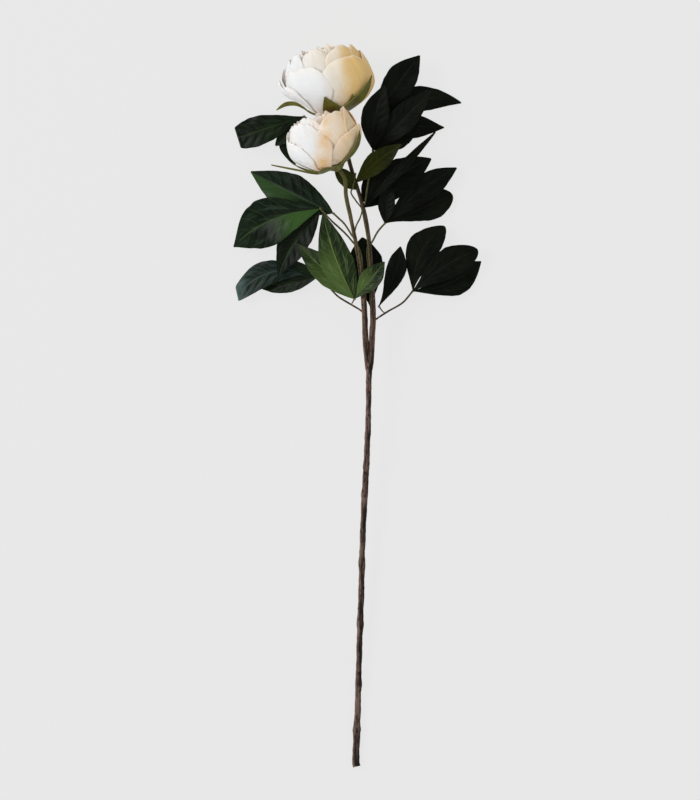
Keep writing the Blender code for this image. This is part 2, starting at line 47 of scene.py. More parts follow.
class Signal:
    # A shader socket that takes part in sums. Each operator adds one Math node.
    def __init__(self, finish, socket):
        self.finish, self.socket = finish, socket

    def __add__(self, other): return self.finish.math("ADD", self, other)
    def __radd__(self, other): return self.finish.math("ADD", other, self)
    def __sub__(self, other): return self.finish.math("SUBTRACT", self, other)
    def __rsub__(self, other): return self.finish.math("SUBTRACT", other, self)
    def __mul__(self, other): return self.finish.math("MULTIPLY", self, other)
    def __rmul__(self, other): return self.finish.math("MULTIPLY", other, self)
    def __pow__(self, other): return self.finish.math("POWER", self, other)


class Finish:
    # One Principled material, its fixed values, and the nodes that vary it.
    def __init__(self, name, fixed):
        self.material = bpy.data.materials.new(name)
        self.material.use_nodes = True
        self.tree = self.material.node_tree
        self.shader = self.tree.nodes["Principled BSDF"]
        for socket, value in fixed.items():
            self.shader.inputs[socket].default_value = value

    def plug(self, socket, value):
        if isinstance(value, Signal):
            self.tree.links.new(value.socket, socket)
        else:
            socket.default_value = value

    def node(self, kind, settings, values, out=0):
        made = self.tree.nodes.new(kind)
        for key, value in settings.items():
            setattr(made, key, value)
        for key, value in values.items():
            self.plug(made.inputs[key], value)
        return Signal(self, made.outputs[out])

    def math(self, operation, *values):
        return self.node("ShaderNodeMath", {"operation": operation}, dict(enumerate(values)))

    def within(self, value, low, high):
        # 0 below low, 1 above high, with an easy turn between them
        return self.node("ShaderNodeMapRange", {"interpolation_type": "SMOOTHSTEP"},
                         {"Value": value, "From Min": low, "From Max": high})

    def mix(self, share, a, b):
        a, b = [v if isinstance(v, Signal) else (*v, 1) for v in (a, b)]
        return self.node("ShaderNodeMix", {"data_type": "RGBA"}, {0: share, 6: a, 7: b}, 2)

    def place(self):
        return self.node("ShaderNodeTexCoord", {}, {}, 3)

    def axis(self, vector, letter):
        return self.node("ShaderNodeSeparateXYZ", {}, {0: vector}, "XYZ".index(letter))

    def uv(self):
        vector = self.node("ShaderNodeUVMap", {"uv_map": "UVMap"}, {})
        return self.axis(vector, "X"), self.axis(vector, "Y")

    def vector(self, x, y, z):
        return self.node("ShaderNodeCombineXYZ", {}, {0: x, 1: y, 2: z})

    def scaled(self, vector, factors):
        return self.node("ShaderNodeVectorMath", {"operation": "MULTIPLY"}, {0: vector, 1: factors})

    def measured(self, vector, way):
        # how far a place lies along a direction
        return self.node("ShaderNodeVectorMath", {"operation": "DOT_PRODUCT"}, {0: vector, 1: way}, 1)

    def size(self, value):
        return self.math("ABSOLUTE", value)

    def noise(self, vector, scale, detail=3, roughness=0.55):
        return self.node("ShaderNodeTexNoise", {},
                         {"Vector": vector, "Scale": scale, "Detail": detail, "Roughness": roughness})

    def bump(self, height, distance, strength=1.0):
        normal = self.node("ShaderNodeBump", {},
                           {"Strength": strength, "Distance": distance, "Height": height})
        self.plug(self.shader.inputs["Normal"], normal)

    def show(self, **sockets):
        for name, value in sockets.items():
            self.plug(self.shader.inputs[name.replace("_", " ")], value)
        return self.material


def gridQuads(rows, columns, closed=False):
    # quads of a grid, row after row; closed joins the last column to the first
    r, c = np.meshgrid(np.arange(rows - 1), np.arange(columns if closed else columns - 1), indexing="ij")
    d = (c + 1) % columns
    corners = [r * columns + c, r * columns + d, (r + 1) * columns + d, (r + 1) * columns + c]
    return np.stack(corners, axis=-1).reshape(-1, 4)


def sheetPart(grid, uv):
    # an open sheet of points (rows, columns, 3) with its uv (rows, columns, 2)
    return grid.reshape(-1, 3), gridQuads(*grid.shape[:2]), np.empty((0, 3), int), uv.reshape(-1, 2)


def turnedPart(rings, low, high, uv):
    # rings of points (rows, columns, 3) closed by a point before the first and one after the last
    rows, columns = rings.shape[:2]
    c = np.arange(columns)
    d, end = (c + 1) % columns, (rows - 1) * columns
    first, last = rows * columns, rows * columns + 1
    fans = np.concatenate([np.stack([np.full(columns, first), d, c], axis=1),
                           np.stack([np.full(columns, last), end + c, end + d], axis=1)])
    points = np.concatenate([rings.reshape(-1, 3), [low], [high]])
    uv = np.concatenate([uv.reshape(-1, 2), [uv[0, 0]], [uv[-1, 0]]])
    return points, gridQuads(rows, columns, True), fans, uv


def addPiece(name, parts, material, nodes, thickness=0.0):
    # parts are (points, quads, fans, uv) in millimetres; thickness closes open sheets on both sides
    starts = np.cumsum([0] + [len(part[0]) for part in parts[:-1]])
    points = (np.concatenate([part[0] for part in parts]) + shift) * mm
    faces = sum([(f + start).tolist() for part, start in zip(parts, starts) for f in part[1:3]], [])
    uvs = np.concatenate([part[3] for part in parts])
    mesh = bpy.data.meshes.new(name)
    mesh.from_pydata(points.tolist(), [], faces)
    corner = np.empty(len(mesh.loops), int)
    mesh.loops.foreach_get("vertex_index", corner)
    mesh.uv_layers.new(name="UVMap").data.foreach_set("uv", uvs[corner].astype(np.float32).ravel())
    mesh.shade_smooth()
    piece = bpy.data.objects.new(name, mesh)
    bpy.context.scene.collection.objects.link(piece)
    mesh.materials.append(material)
    if thickness:
        solid = piece.modifiers.new("thickness", "SOLIDIFY")
        solid.thickness, solid.offset = thickness * mm, 0
    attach(piece, "root")
    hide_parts(*nodes)
    return piece


def smoothLine(points, step):
    # Catmull-Rom curve: each stretch is a cubic through its ends, with the slopes of its neighbours
    p = np.array([points[0], *points, points[-1]], float)
    stretches = []
    for a, b, c, d in zip(p[:-3], p[1:-2], p[2:-1], p[3:]):
        t = np.linspace(0, 1, max(2, round(float(np.linalg.norm(c - b)) / step)), endpoint=False)[:, None]
        stretches.append(0.5 * (2 * b + (c - a) * t + (2 * a - 5 * b + 4 * c - d) * t * t
                                + (3 * b - a - 3 * c + d) * t ** 3))
    return np.concatenate([*stretches, p[-2:-1]])


def wander(x, seed, waves=6):
    # a smooth uneven wave between about -1 and 1: sines of rising pitch and falling height
    rng = np.random.default_rng(seed)
    pitch, phase = np.arange(1, waves + 1), rng.uniform(0, 2 * pi, waves)
    return (np.sin(np.asarray(x)[..., None] * pitch + phase) / pitch).sum(axis=-1) / 1.6


# how fast the fine and the slow lumps of a tube change, per millimetre along it and round it
tubeLumps = {"fineRun": 0.21, "fineTurn": 0.8, "slowRun": 0.05, "slowTurn": 2.1, "slowLean": 0.4,
             "slowShare": 0.6, "knob": 0.08}


def tubePart(line, radii, columns, lumps, seed):
    # A round profile carried along a line. Its radius rises and falls by lumps, a share of the radius
    # that wanders along the line and round it. Each end closes in a point. u is 0 to 1 from the tube's
    # right side to its left, v the distance along it.
    ahead = np.gradient(line, axis=0)
    ahead /= np.linalg.norm(ahead, axis=1)[:, None]
    side = np.cross(ahead, (0, 0, 1))
    side /= np.linalg.norm(side, axis=1)[:, None]
    over = np.cross(side, ahead)
    angle = np.arange(columns) * 2 * pi / columns
    run = np.concatenate([[0], np.cumsum(np.linalg.norm(np.diff(line, axis=0), axis=1))])
    fine = wander(run[:, None] * tubeLumps["fineRun"] + tubeLumps["fineTurn"] * np.sin(angle), seed, 7)
    slow = wander(run[:, None] * tubeLumps["slowRun"]
                  + tubeLumps["slowTurn"] * np.cos(angle + tubeLumps["slowLean"]), seed + 1, 9)
    radius = np.asarray(radii)[:, None] * (1 + lumps * (fine + tubeLumps["slowShare"] * slow))
    rings = (line[:, None, :] + (radius * np.sin(angle))[..., None] * side[:, None, :]
             + (radius * np.cos(angle))[..., None] * over[:, None, :])
    fromRight = (angle - pi / 2) % (2 * pi)
    uv = np.stack(np.broadcast_arrays(1 - np.abs(fromRight / pi - 1), run[:, None]), axis=-1)
    return turnedPart(rings, line[0], line[-1], uv)


def ballPart(centre, radius, seed, rows=14, columns=20):
    # a knob: a sphere whose radius wanders a little
    rise, angle = np.meshgrid(pi * np.arange(1, rows + 1) / (rows + 1),
                              np.arange(columns) * 2 * pi / columns, indexing="ij")
    r = radius * (1 + tubeLumps["knob"] * wander(2 * rise + np.cos(angle), seed, 4))
    ways = (np.sin(rise) * np.cos(angle), np.sin(rise) * np.sin(angle), -np.cos(rise))
    rings = r[..., None] * np.stack(ways, axis=-1) + centre
    uv = np.stack([rise / pi, angle * 0], axis=-1)
    pole = np.array((0, 0, radius))
    return turnedPart(rings, centre - pole, centre + pole, uv)


# forkEase: share of the fork's radius just below it; swell: how much thicker a bloom stem is at the fork
stems = {
    "step": 1.5, "cutRadius": 3.9, "mainRadius": 3.1, "forkRadius": 3.2, "forkEase": 0.88,
    "radiusPlaces": (0, 70, 300, 395, 416), "bloomRadius": 2.1, "swell": 1.3, "swellPlaces": (440, 500),
    "bloomWander": 0.06, "nodePlaces": (39, 86, 150, 214, 287, 317, 349), "nodeSwell": 0.2,
    "nodeLength": 5.0, "lumps": 0.085, "bloomLumps": 0.035,
    "main": [
        (-1, 0, 3.9), (-1.6, 10, 4.4), (0.5, 73, 8.6), (2, 125, 12.4), (3.7, 178, 16), (5, 230, 19.6),
        (7.3, 282, 23), (9.4, 324, 26), (11.2, 366, 29), (12, 424, 32.6),
    ],
    "lower": [
        (9.8, 424.6, 32.8), (7.6, 452, 35.2), (6.4, 481, 38), (1, 533, 45.6), (-7.3, 575, 55),
        (-12, 597, 64.4),
    ],
    "upper": [
        (14.3, 424.6, 32.8), (15.6, 452, 34), (16.7, 481, 35.4), (11.7, 554, 37.6),
        (5.2, 588, 38.4), (-5.2, 622, 38), (-11, 643, 36), (-15, 658, 36),
    ],
}
# how pieces meet: the gap between them, the calyx and straight stem behind a bloom, and a leaf's foot
seat = {"gap": 0.3, "calyxDepth": 7.0, "straightEnd": 11.0, "leafThickness": 0.6, "leafNeck": 0.7,
        "steepest": 0.95}

# heading is the lean to the left of +Y and lift the rise off the floor, in degrees
blooms = {
    "upper": {
        "foot": (-22.5, 684, 38.4), "heading": 16, "lift": 6, "flat": 0.81, "height": 68.0,
        "radius": 49.5, "footRadius": 6.0, "slim": 19.0,
    },
    "lower": {
        "foot": (-22, 629, 76.6), "heading": 30, "lift": 13, "flat": 0.88, "height": 55.0,
        "radius": 38.5, "footRadius": 5.4, "slim": 7.0,
    },
}


def bloomAxes(bloom):
    # foot, and directions along the bloom, to its front (away from the floor) and to its right
    heading, lift = radians(bloom["heading"]), radians(bloom["lift"])
    along = np.array([-sin(heading) * cos(lift), cos(heading) * cos(lift), sin(lift)])
    right = np.cross(along, (0, 0, 1))
    right /= np.linalg.norm(right)
    return np.array(bloom["foot"], float), along, np.cross(right, along) * bloom["flat"], right


stemLines = {"main": smoothLine(stems["main"], stems["step"])}
for which, bloom in blooms.items():
    foot, along, _, _ = bloomAxes(bloom)
    ends = [foot - (seat["calyxDepth"] + seat["gap"] + back) * along for back in (seat["straightEnd"], 0)]
    stemLines[which] = smoothLine([*stems[which], *ends], stems["step"])


def beside(line, wayUp, radius, halfWidth, toward, rise=0.0):
    # the place on a stem's side for something of that half width that leaves towards a point
    centre = np.array([np.interp(wayUp, line[:, 1], line[:, k]) for k in range(3)])
    near = int(np.argmin(np.abs(line[:, 1] - centre[1])))
    reach = 5  # the slope is read over a few points, because these lie close together
    axis = line[min(near + reach, len(line) - 1)] - line[max(near - reach, 0)]
    axis /= np.linalg.norm(axis)
    ahead = np.array(toward) - centre
    ahead /= np.linalg.norm(ahead)
    out = ahead - axis * (ahead @ axis)
    out[2] = 0
    out /= np.linalg.norm(out)
    away = radius + seat["gap"] + halfWidth * abs(ahead @ axis)
    up = min(rise / away, seat["steepest"])
    return centre + away * (out * (1 - up * up) ** 0.5 + np.array((0, 0, up)))


# on: its stem and how far up it; line: its way to the last knob; knobs: places of more knobs on the line
stalks = {
    "radius": 1.0, "knob": 2.2, "knobShare": 0.62, "step": 1.0, "lumps": 0.06,
    "strandSink": 0.6, "strandThin": 0.45, "strandEase": 14, "vineRadius": 0.8, "vineLumps": 0.1,
    "top_left": {
        "on": ("upper", 640), "line": [(-24, 655, 30), (-40, 670, 26), (-56, 682, 27)],
    },
    "middle_left_upper": {
        "on": ("lower", 558), "line": [(-14, 569, 46), (-20, 575, 41), (-25, 580, 36)],
    },
    "middle_left_lower": {
        "on": ("lower", 550), "line": [(-14, 560, 45), (-28, 573, 42.5), (-39, 585, 41)],
    },
    "low_left": {
        "on": ("lower", 478.6), "line": [(-7, 485, 37), (-21, 494, 33.5), (-33, 507, 28), (-41, 515, 24)],
        "branch": [(-6.4, 484.6, 37), (-5.4, 487, 41), (-3.4, 490.5, 44.6)],
    },
    "low_right": {
        "on": ("upper", 470), "line": [(32, 478, 32), (47, 487, 27), (57.5, 499, 23)],
        "branch": [(29, 476.2, 32.8), (26, 478, 34.6), (22.4, 483, 36.4)],
    },
    "middle_right": {
        "on": ("upper", 550), "line": [(21, 561, 35), (28.6, 570, 32.6)],
    },
    "top_right": {
        "on": ("upper", 590),
        "line": [(11, 612, 39.6), (15, 630, 39.4), (16, 646, 38), (16.6, 662, 33.6), (16, 674, 30.4)],
        "knobs": [2],
    },
}
stalkNames = [name for name, plan in stalks.items() if isinstance(plan, dict)]
knobs = {}
for name in stalkNames:
    for k in [*stalks[name].get("knobs", []), -1]:
        knobs[(name, k)] = np.array(stalks[name]["line"][k], float)
    if "branch" in stalks[name]:
        knobs[(name + "_twig", -1)] = np.array(stalks[name]["branch"][-1], float)


# on: the knob or stem that it grows from; rise: how far above its middle; tip; width; arch: how high
# its middle rises; side: how far it bends to its left; fold and roll in degrees; widest: 0 foot, 1 tip;
# blunt: how full the tip is; hook: the length that turns down at the tip; look: its finish
leaves = {
    "top_left_1": dict(on=("top_left", -1), rise=0.8, tip=(-126, 660, 23), width=31, arch=3, blunt=0.7,
                       widest=0.6, hook=13, look="dark"),
    "top_left_2": dict(on=("top_left", -1), rise=-0.8, tip=(-86, 652, 18), width=17, fold=12,
                       look="dark"),
    "top_left_3": dict(on=("top_left", -1), rise=-2.3, tip=(-66, 632, 4), width=19, roll=12,
                       widest=0.62, side=-12, look="dark"),
    "middle_left_1": dict(on=("middle_left_upper", -1), rise=0.4, tip=(-112, 625, 12), width=40, arch=1,
                          roll=-8, blunt=-0.3, side=1, look="midTip"),
    "middle_left_2": dict(on=("middle_left_lower", -1), rise=0.9, tip=(-130, 546, 14), width=50, arch=13,
                          fold=8, blunt=-0.5, widest=0.54, side=-9, look="midFoot"),
    "middle_left_3": dict(on=("middle_left_lower", -1), rise=-0.9, tip=(-83, 515, 31), width=32, arch=-2,
                          fold=10, blunt=-0.3, side=-5, look="dark"),
    "low_left_1": dict(on=("low_left", -1), rise=0.2, tip=(-127, 496, 15), width=27, arch=3, blunt=0.3,
                       widest=0.6, side=-15, hook=11, look="blue"),
    "low_left_2": dict(on=("low_left", -1), rise=-1.4, tip=(-109, 506, 5), width=20, arch=1, fold=8,
                       blunt=-0.3, side=3, look="dark"),
    "low_left_3": dict(on=("low_left", -1), rise=1.6, tip=(-78, 532, 29), width=12, arch=2, roll=30,
                       look="dark"),
    "front_1": dict(on=("low_left_twig", -1), rise=0.6, tip=(-63, 548, 38), width=26, arch=2, fold=8,
                    blunt=-0.4, look="bright"),
    "front_2": dict(on=("low_left_twig", -1), rise=1.2, tip=(-36, 580, 57), width=34, arch=2, fold=10,
                    blunt=-0.3, widest=0.44, side=4, look="bright"),
    "front_3": dict(on=("low_left_twig", -1), rise=0.8, tip=(28, 529, 52), width=22, arch=2, fold=12,
                    blunt=-0.4, widest=0.56, look="bright"),
    "behind_1": dict(on=("upper", 483), rise=-1.6, tip=(5, 556, 14), width=36, arch=-3, fold=5,
                     widest=0.62, look="black"),
    "behind_2": dict(on=("low_right_twig", -1), rise=0.4, tip=(45, 546, 22), width=21, arch=1, fold=8,
                     blunt=-0.2, widest=0.62, side=-4, look="black"),
    "low_right_1": dict(on=("low_right", -1), rise=0.4, tip=(91, 568, 12), width=34, arch=3, fold=5,
                        blunt=0.35, side=10, widest=0.6, look="black"),
    "low_right_2": dict(on=("low_right", -1), rise=1.6, tip=(126, 543, 17), width=32, arch=4, fold=5,
                        blunt=0.5, side=4, widest=0.62, look="black"),
    "low_right_3": dict(on=("low_right", -1), rise=-0.9, tip=(130, 531, 0.3), width=31, arch=0, fold=5,
                        blunt=-0.3, widest=0.62, side=-8, look="black"),
    "middle_right_1": dict(on=("middle_right", -1), rise=1.6, tip=(32, 613, 41), width=18, arch=0,
                           fold=12, look="black"),
    "middle_right_2": dict(on=("middle_right", -1), rise=0.2, tip=(104, 629, 12), width=28, arch=2,
                           fold=6, blunt=-0.2, widest=0.58, side=4, look="black"),
    "middle_right_3": dict(on=("middle_right", -1), rise=-1.2, tip=(100, 601, 4), width=31, arch=-1,
                           fold=5, blunt=0.55, widest=0.68, side=-1, look="black"),
    "right_1": dict(on=("upper", 587), rise=-0.6, tip=(77, 638, 24), width=38, arch=-2, fold=3,
                    side=5, look="black"),
    "right_2": dict(on=("upper", 587), rise=1.9, tip=(81, 664, 56), width=15, arch=2, roll=50,
                    look="black"),
    "right_3": dict(on=("upper", 593), rise=-1.8, tip=(17, 630, 20), width=14, arch=0, fold=10,
                    look="black"),
    "single": dict(on=("upper", 613), rise=1.8, tip=(45, 651, 60), width=22, arch=1, fold=10, blunt=-0.3,
                   widest=0.52, side=2, look="olive"),
    "upper_right_1": dict(on=("top_right", 2), rise=0.6, tip=(77, 709, 45), width=28, arch=3, fold=8,
                          blunt=-0.3, look="black"),
    "upper_right_2": dict(on=("top_right", 2), rise=-0.9, tip=(66, 680, 29), width=31, arch=-1, fold=6,
                          blunt=-0.3, look="black"),
    "upper_right_3": dict(on=("top_right", 2), rise=1.4, tip=(28, 713, 52), width=29, arch=2, fold=10,
                          blunt=-0.2, side=4, look="black"),
    "top_right_1": dict(on=("top_right", -1), rise=0.8, tip=(65, 746, 25), width=32, arch=3, fold=6,
                        blunt=-0.3, widest=0.6, side=2, look="black"),
    "top_right_2": dict(on=("top_right", -1), rise=-0.6, tip=(109, 698, 4), width=28, arch=1, fold=6,
                        side=14, look="black"),
    "top_right_3": dict(on=("top_right", -1), rise=-1.8, tip=(91, 672, 2), width=26, arch=-2, fold=6,
                        blunt=-0.4, look="black"),
    "bract": dict(on=("upper", 607), rise=1.9, tip=(-24, 628, 50), width=16, arch=1, fold=10,
                  look="olive"),
}
# hookRadius: the turn of a hooked tip; rib and pleat: their depths; wave and margin: how uneven the edge
# is, as shares of the width, and waveRun and marginRun how often; pull: how far a foot is drawn in
leafRelief = {"hookRadius": 5.0, "rib": 0.35, "ribWidth": 0.05, "pleat": 0.22, "veins": 8, "sweep": 1.3,
              "veinCurve": 1.3, "wave": 0.07, "waveRun": 9, "margin": 0.03, "marginRun": 14,
              "tipFullness": (0.9, 0.5), "thickness": 0.42, "pull": 1.6, "rows": 88, "columns": 37}


def leafFoot(plan, tip):
    # a leaf starts just clear of its knob, or of its stem
    place, where = plan["on"]
    if place in stemLines:
        return beside(stemLines[place], where, stems["bloomRadius"] + seat["leafThickness"] / 2,
                      seat["leafNeck"], tip, plan["rise"])
    centre = knobs[(place, where)]
    ahead = (tip - centre) * (1, 1, 0)
    reach = stalks["knob"] + seat["gap"] + seat["leafThickness"] / 2
    across = (reach ** 2 - plan["rise"] ** 2) ** 0.5
    return centre + ahead / np.linalg.norm(ahead) * across + np.array((0, 0, plan["rise"]))


def leafGrid(plan, rows, columns, relief=None, seed=0):
    # The midrib runs from foot to tip, arches up, bends sideways and may turn down on a short radius.
    # The half width is a sine of the way along, pulled so that its peak is at widest, and the blade is
    # folded and rolled about the midrib. relief adds the rib's groove, pleats between the side veins
    # and a wave that grows towards the margin.
    tip = np.array(plan["tip"], float)
    foot = leafFoot(plan, tip)
    if relief:
        foot = foot - (tip - foot) / np.linalg.norm(tip - foot) * relief["pull"]
    length = float(np.linalg.norm(tip - foot))
    ahead = (tip - foot) / length
    across = np.cross(ahead, (0, 0, 1))
    across /= np.linalg.norm(across)
    up = np.cross(across, ahead)
    hook, bend = plan.get("hook", 0), leafRelief["hookRadius"]
    run = np.linspace(0, 1, rows) * (length + hook)
    forward, down = run, np.zeros(rows)
    if hook:
        past = np.clip(run - (length - bend), 0, None)
        turn = np.clip(past / bend, 0, pi / 2)
        forward = np.minimum(run, length - bend) + bend * np.sin(turn)
        down = bend * (1 - np.cos(turn)) + np.clip(past - bend * pi / 2, 0, None)
    s = forward / length
    hump = 4 * s * (1 - s)
    midrib = (foot + forward[:, None] * ahead + (hump * plan.get("arch", 0) - down)[:, None] * up
              - (hump * plan.get("side", 0))[:, None] * across)
    q = run / run[-1]
    power = np.log(0.5) / np.log(plan.get("widest", 0.5))
    full, fuller = leafRelief["tipFullness"]
    swell = np.sin(pi * q ** power) ** (full - fuller * plan.get("blunt", 0) * q)
    neck = seat["leafNeck"]
    half = neck + (plan["width"] / 2 - neck) * np.clip(swell, 0, 1)
    roll = radians(plan.get("roll", 0))
    side, over = cos(roll) * across + sin(roll) * up, cos(roll) * up - sin(roll) * across
    t = np.linspace(-1, 1, columns)
    spread = half[:, None] * t
    lift = np.abs(spread) * np.tan(radians(plan.get("fold", 0)))
    if relief:
        share = half[:, None] / (plan["width"] / 2)
        edge = np.abs(t)
        veinWay = (q[:, None] * relief["veins"] - edge ** relief["veinCurve"] * relief["sweep"]) * 2 * pi
        lift = lift - relief["rib"] * np.exp(-((t / relief["ribWidth"]) ** 2)) * share
        lift = lift + relief["pleat"] * np.cos(veinWay) * share * np.sin(pi * edge) ** 2
        wave = wander(q[:, None] * relief["waveRun"] + np.sign(t) * 2, seed, 4)
        lift = lift + relief["wave"] * half[:, None] * edge ** 3 * wave
        margin = wander(q[:, None] * relief["marginRun"] + np.sign(t), seed + 50, 5)
        spread = spread * (1 + relief["margin"] * margin)
    grid = midrib[:, None, :] + spread[..., None] * side + lift[..., None] * over
    return grid, np.stack(np.broadcast_arrays(0.5 + 0.5 * t, q[:, None]), axis=-1)


# The frame is the same spray, moved to the bottom centre of its box. Leaf boxes give the move.
moves = []
for name, plan in leaves.items():
    coarse, _ = leafGrid(plan, 9, 5)
    low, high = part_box("leaf_" + name)
    drawn = (coarse.min((0, 1)) + coarse.max((0, 1))) / 2
    moves.append((np.array(low) + np.array(high)) / 2 / mm - drawn)
shift = np.median(moves, axis=0)
print("stage: frame read, move", shift.round(2), "spread", np.ptp(moves, axis=0).round(2))


# Two numbers are where a pattern starts to show and where it shows fully; a share is how strongly.
leafPattern = {
    "patchScale": 38, "grainScale": 420, "patchRange": (0.36, 0.66), "veinRange": (0.075, 0.0),
    "fineRange": (0.09, 0.0), "ribRange": (0.05, 0.012), "ribSoftRange": (0.16, 0.0),
    "nearRib": (0.02, 0.3), "veinShare": 0.55, "fineShare": 0.16, "ribSoftShare": 0.12,
    # The sheen, tip and lit values place painted light: a painted sheen, a painted reflection at a tip and a
    # painted lit half.
    "sheenRange": (0.3, 0.9), "tipRange": (0.86, 1.12), "litEdge": (0.66, 0.56), "litShare": 0.85,
    # The streak values place painted highlights along the veins.
    "streakRun": (5, 6, 2.4), "streakScale": 1.6, "streakRange": (0.5, 0.86), "grainShare": 0.35,
    "relief": 0.0004, "reliefStrength": 0.5,
}


def leafFinish(name, look):
    # Pale midrib and side veins on a blade whose green wanders in soft patches; veins sweep to the tip.
    # Painted sheen grows to the tip, painted light brightens the left half, painted highlights streak the
    # veins.
    finish = Finish(name, {"Specular IOR Level": look["gloss"], "IOR": 1.45})
    within, mix, plan = finish.within, finish.mix, leafPattern
    u, v = finish.uv()
    edge = finish.size(u * 2 - 1)
    place = finish.place()
    patches = finish.noise(place, plan["patchScale"], 4)
    grain = finish.noise(place, plan["grainScale"], 3)
    way = v * leafRelief["veins"] - (edge ** leafRelief["veinCurve"]) * leafRelief["sweep"]
    veinLine = within(finish.size(finish.math("FRACT", way + 0.5) - 0.5), *plan["veinRange"])
    fineLine = within(finish.size(finish.math("FRACT", way * 2 + 0.5) - 0.5), *plan["fineRange"])
    rib, ribSoft = within(edge, *plan["ribRange"]), within(edge, *plan["ribSoftRange"])
    veins = veinLine * within(edge, *plan["nearRib"]) * plan["veinShare"] + fineLine * plan["fineShare"]
    ground = mix(within(patches, *plan["patchRange"]), look["deep"], look["blade"])
    # painted sheen, stronger towards the tip
    onward = v * 0.5 + patches * 0.5 - 0.25
    ground = mix(within(onward, *plan["sheenRange"]) * look["sheenShare"], ground, look["sheen"])
    # painted reflection: the blue look's tip turns pale blue-grey
    if "tip" in look:
        ground = mix(within(v + patches * 0.3, *plan["tipRange"]) * plan["litShare"], ground, look["tip"])
    # painted light: part of the left half is brighter, towards the tip or the foot as litWay says
    if "lit" in look:
        half = within(u + patches * 0.2, *plan["litEdge"]) * within(v, *look["litWay"])
        ground = mix(half * plan["litShare"], ground, look["lit"])
    # painted highlights: pale streaks along the veins
    across, back, along = plan["streakRun"]
    streakPlace = finish.vector(edge * across - v * back, v * along, patches)
    streaks = finish.noise(streakPlace, plan["streakScale"], 3)
    ground = mix(within(streaks, *plan["streakRange"]) * look["shineShare"], ground, look["shine"])
    ground = mix(grain * plan["grainShare"], ground, look["deep"])
    veined = mix(veins * look["veinShare"] + ribSoft * plan["ribSoftShare"], ground, look["vein"])
    colour = mix(rib * look["ribShare"], veined, look["vein"])
    finish.bump(grain * 0.25 - veins * 0.6 - rib * 1.2 + patches * 0.5, plan["relief"],
                plan["reliefStrength"])
    return finish.show(Base_Color=colour, Roughness=look["rough"] + patches * 0.16 - grain * 0.08)


# In each look the sheen colour is a painted sheen, shine painted highlights, lit painted light on part of
# the left half and tip a painted reflection; midTip is painted lit towards the tip and midFoot towards the
# foot.
leafLooks = {
    "black": dict(deep=(0.0016, 0.0022, 0.0012), blade=(0.0042, 0.006, 0.0028), vein=(0.016, 0.020, 0.010),
                  sheen=(0.008, 0.011, 0.004), sheenShare=0.5, shine=(0.020, 0.026, 0.018), shineShare=0.4,
                  veinShare=0.3, ribShare=0.45, rough=0.42, gloss=0.07),
    "dark": dict(deep=(0.002, 0.004, 0.0015), blade=(0.006, 0.013, 0.004), vein=(0.030, 0.055, 0.016),
                 sheen=(0.018, 0.034, 0.012), sheenShare=0.6, shine=(0.05, 0.085, 0.05), shineShare=0.4,
                 veinShare=0.4, ribShare=0.6, rough=0.30, gloss=0.08),
    "midTip": dict(deep=(0.002, 0.0045, 0.002), blade=(0.006, 0.014, 0.006), vein=(0.05, 0.09, 0.03),
                   sheen=(0.012, 0.030, 0.016), sheenShare=0.5, shine=(0.05, 0.09, 0.06), shineShare=0.45,
                   lit=(0.032, 0.078, 0.020), litWay=(0.3, 0.6), veinShare=0.3, ribShare=0.5,
                   rough=0.30, gloss=0.08),
    "midFoot": dict(deep=(0.002, 0.0045, 0.002), blade=(0.007, 0.016, 0.006), vein=(0.06, 0.10, 0.035),
                    sheen=(0.012, 0.028, 0.012), sheenShare=0.5, shine=(0.08, 0.13, 0.09),
                    shineShare=0.5, lit=(0.045, 0.115, 0.022), litWay=(0.55, 0.2), veinShare=0.35,
                    ribShare=0.5, rough=0.28, gloss=0.09),
    "bright": dict(deep=(0.004, 0.010, 0.002), blade=(0.018, 0.036, 0.006), vein=(0.15, 0.22, 0.06),
                   sheen=(0.035, 0.065, 0.014), sheenShare=0.45, shine=(0.19, 0.27, 0.12), shineShare=0.6,
                   lit=(0.085, 0.145, 0.035), litWay=(0.85, 0.3), veinShare=0.35, ribShare=0.8,
                   rough=0.3, gloss=0.12),
    "blue": dict(deep=(0.002, 0.006, 0.004), blade=(0.008, 0.022, 0.014), vein=(0.06, 0.11, 0.08),
                 sheen=(0.022, 0.048, 0.038), sheenShare=0.85, shine=(0.09, 0.15, 0.145), shineShare=0.4,
                 tip=(0.12, 0.19, 0.18), veinShare=0.45, ribShare=0.5, rough=0.3, gloss=0.12),
    "olive": dict(deep=(0.010, 0.013, 0.001), blade=(0.028, 0.034, 0.002), vein=(0.08, 0.10, 0.02),
                  sheen=(0.04, 0.055, 0.007), sheenShare=0.5, shine=(0.08, 0.11, 0.03), shineShare=0.3,
                  veinShare=0.4, ribShare=0.6, rough=0.4, gloss=0.07),
}
leafMaterials = {look: leafFinish("leaf_" + look, plan) for look, plan in leafLooks.items()}


# stretch draws a pattern out along the stem
barkPattern = {
    "streakStretch": (1, 0.09, 1), "patchStretch": (1, 0.35, 1), "pitStretch": (1, 0.5, 1),
    "fineScale": 420, "patchScale": 95, "patchRange": (0.35, 0.62), "wornRange": (0.66, 0.95),
    # litRange and litShare lay painted light on the stem's left side, darkRange and darkShare painted shade
    # on its right.
    "wornShare": 0.5, "litRange": (0.5, 0.9), "litShare": 0.65, "darkRange": (0.5, 0.1), "darkShare": 0.9,
    "pitRange": (0.54, 0.66), "pitShare": 0.85, "relief": 0.0009, "reliefStrength": 0.8,
}


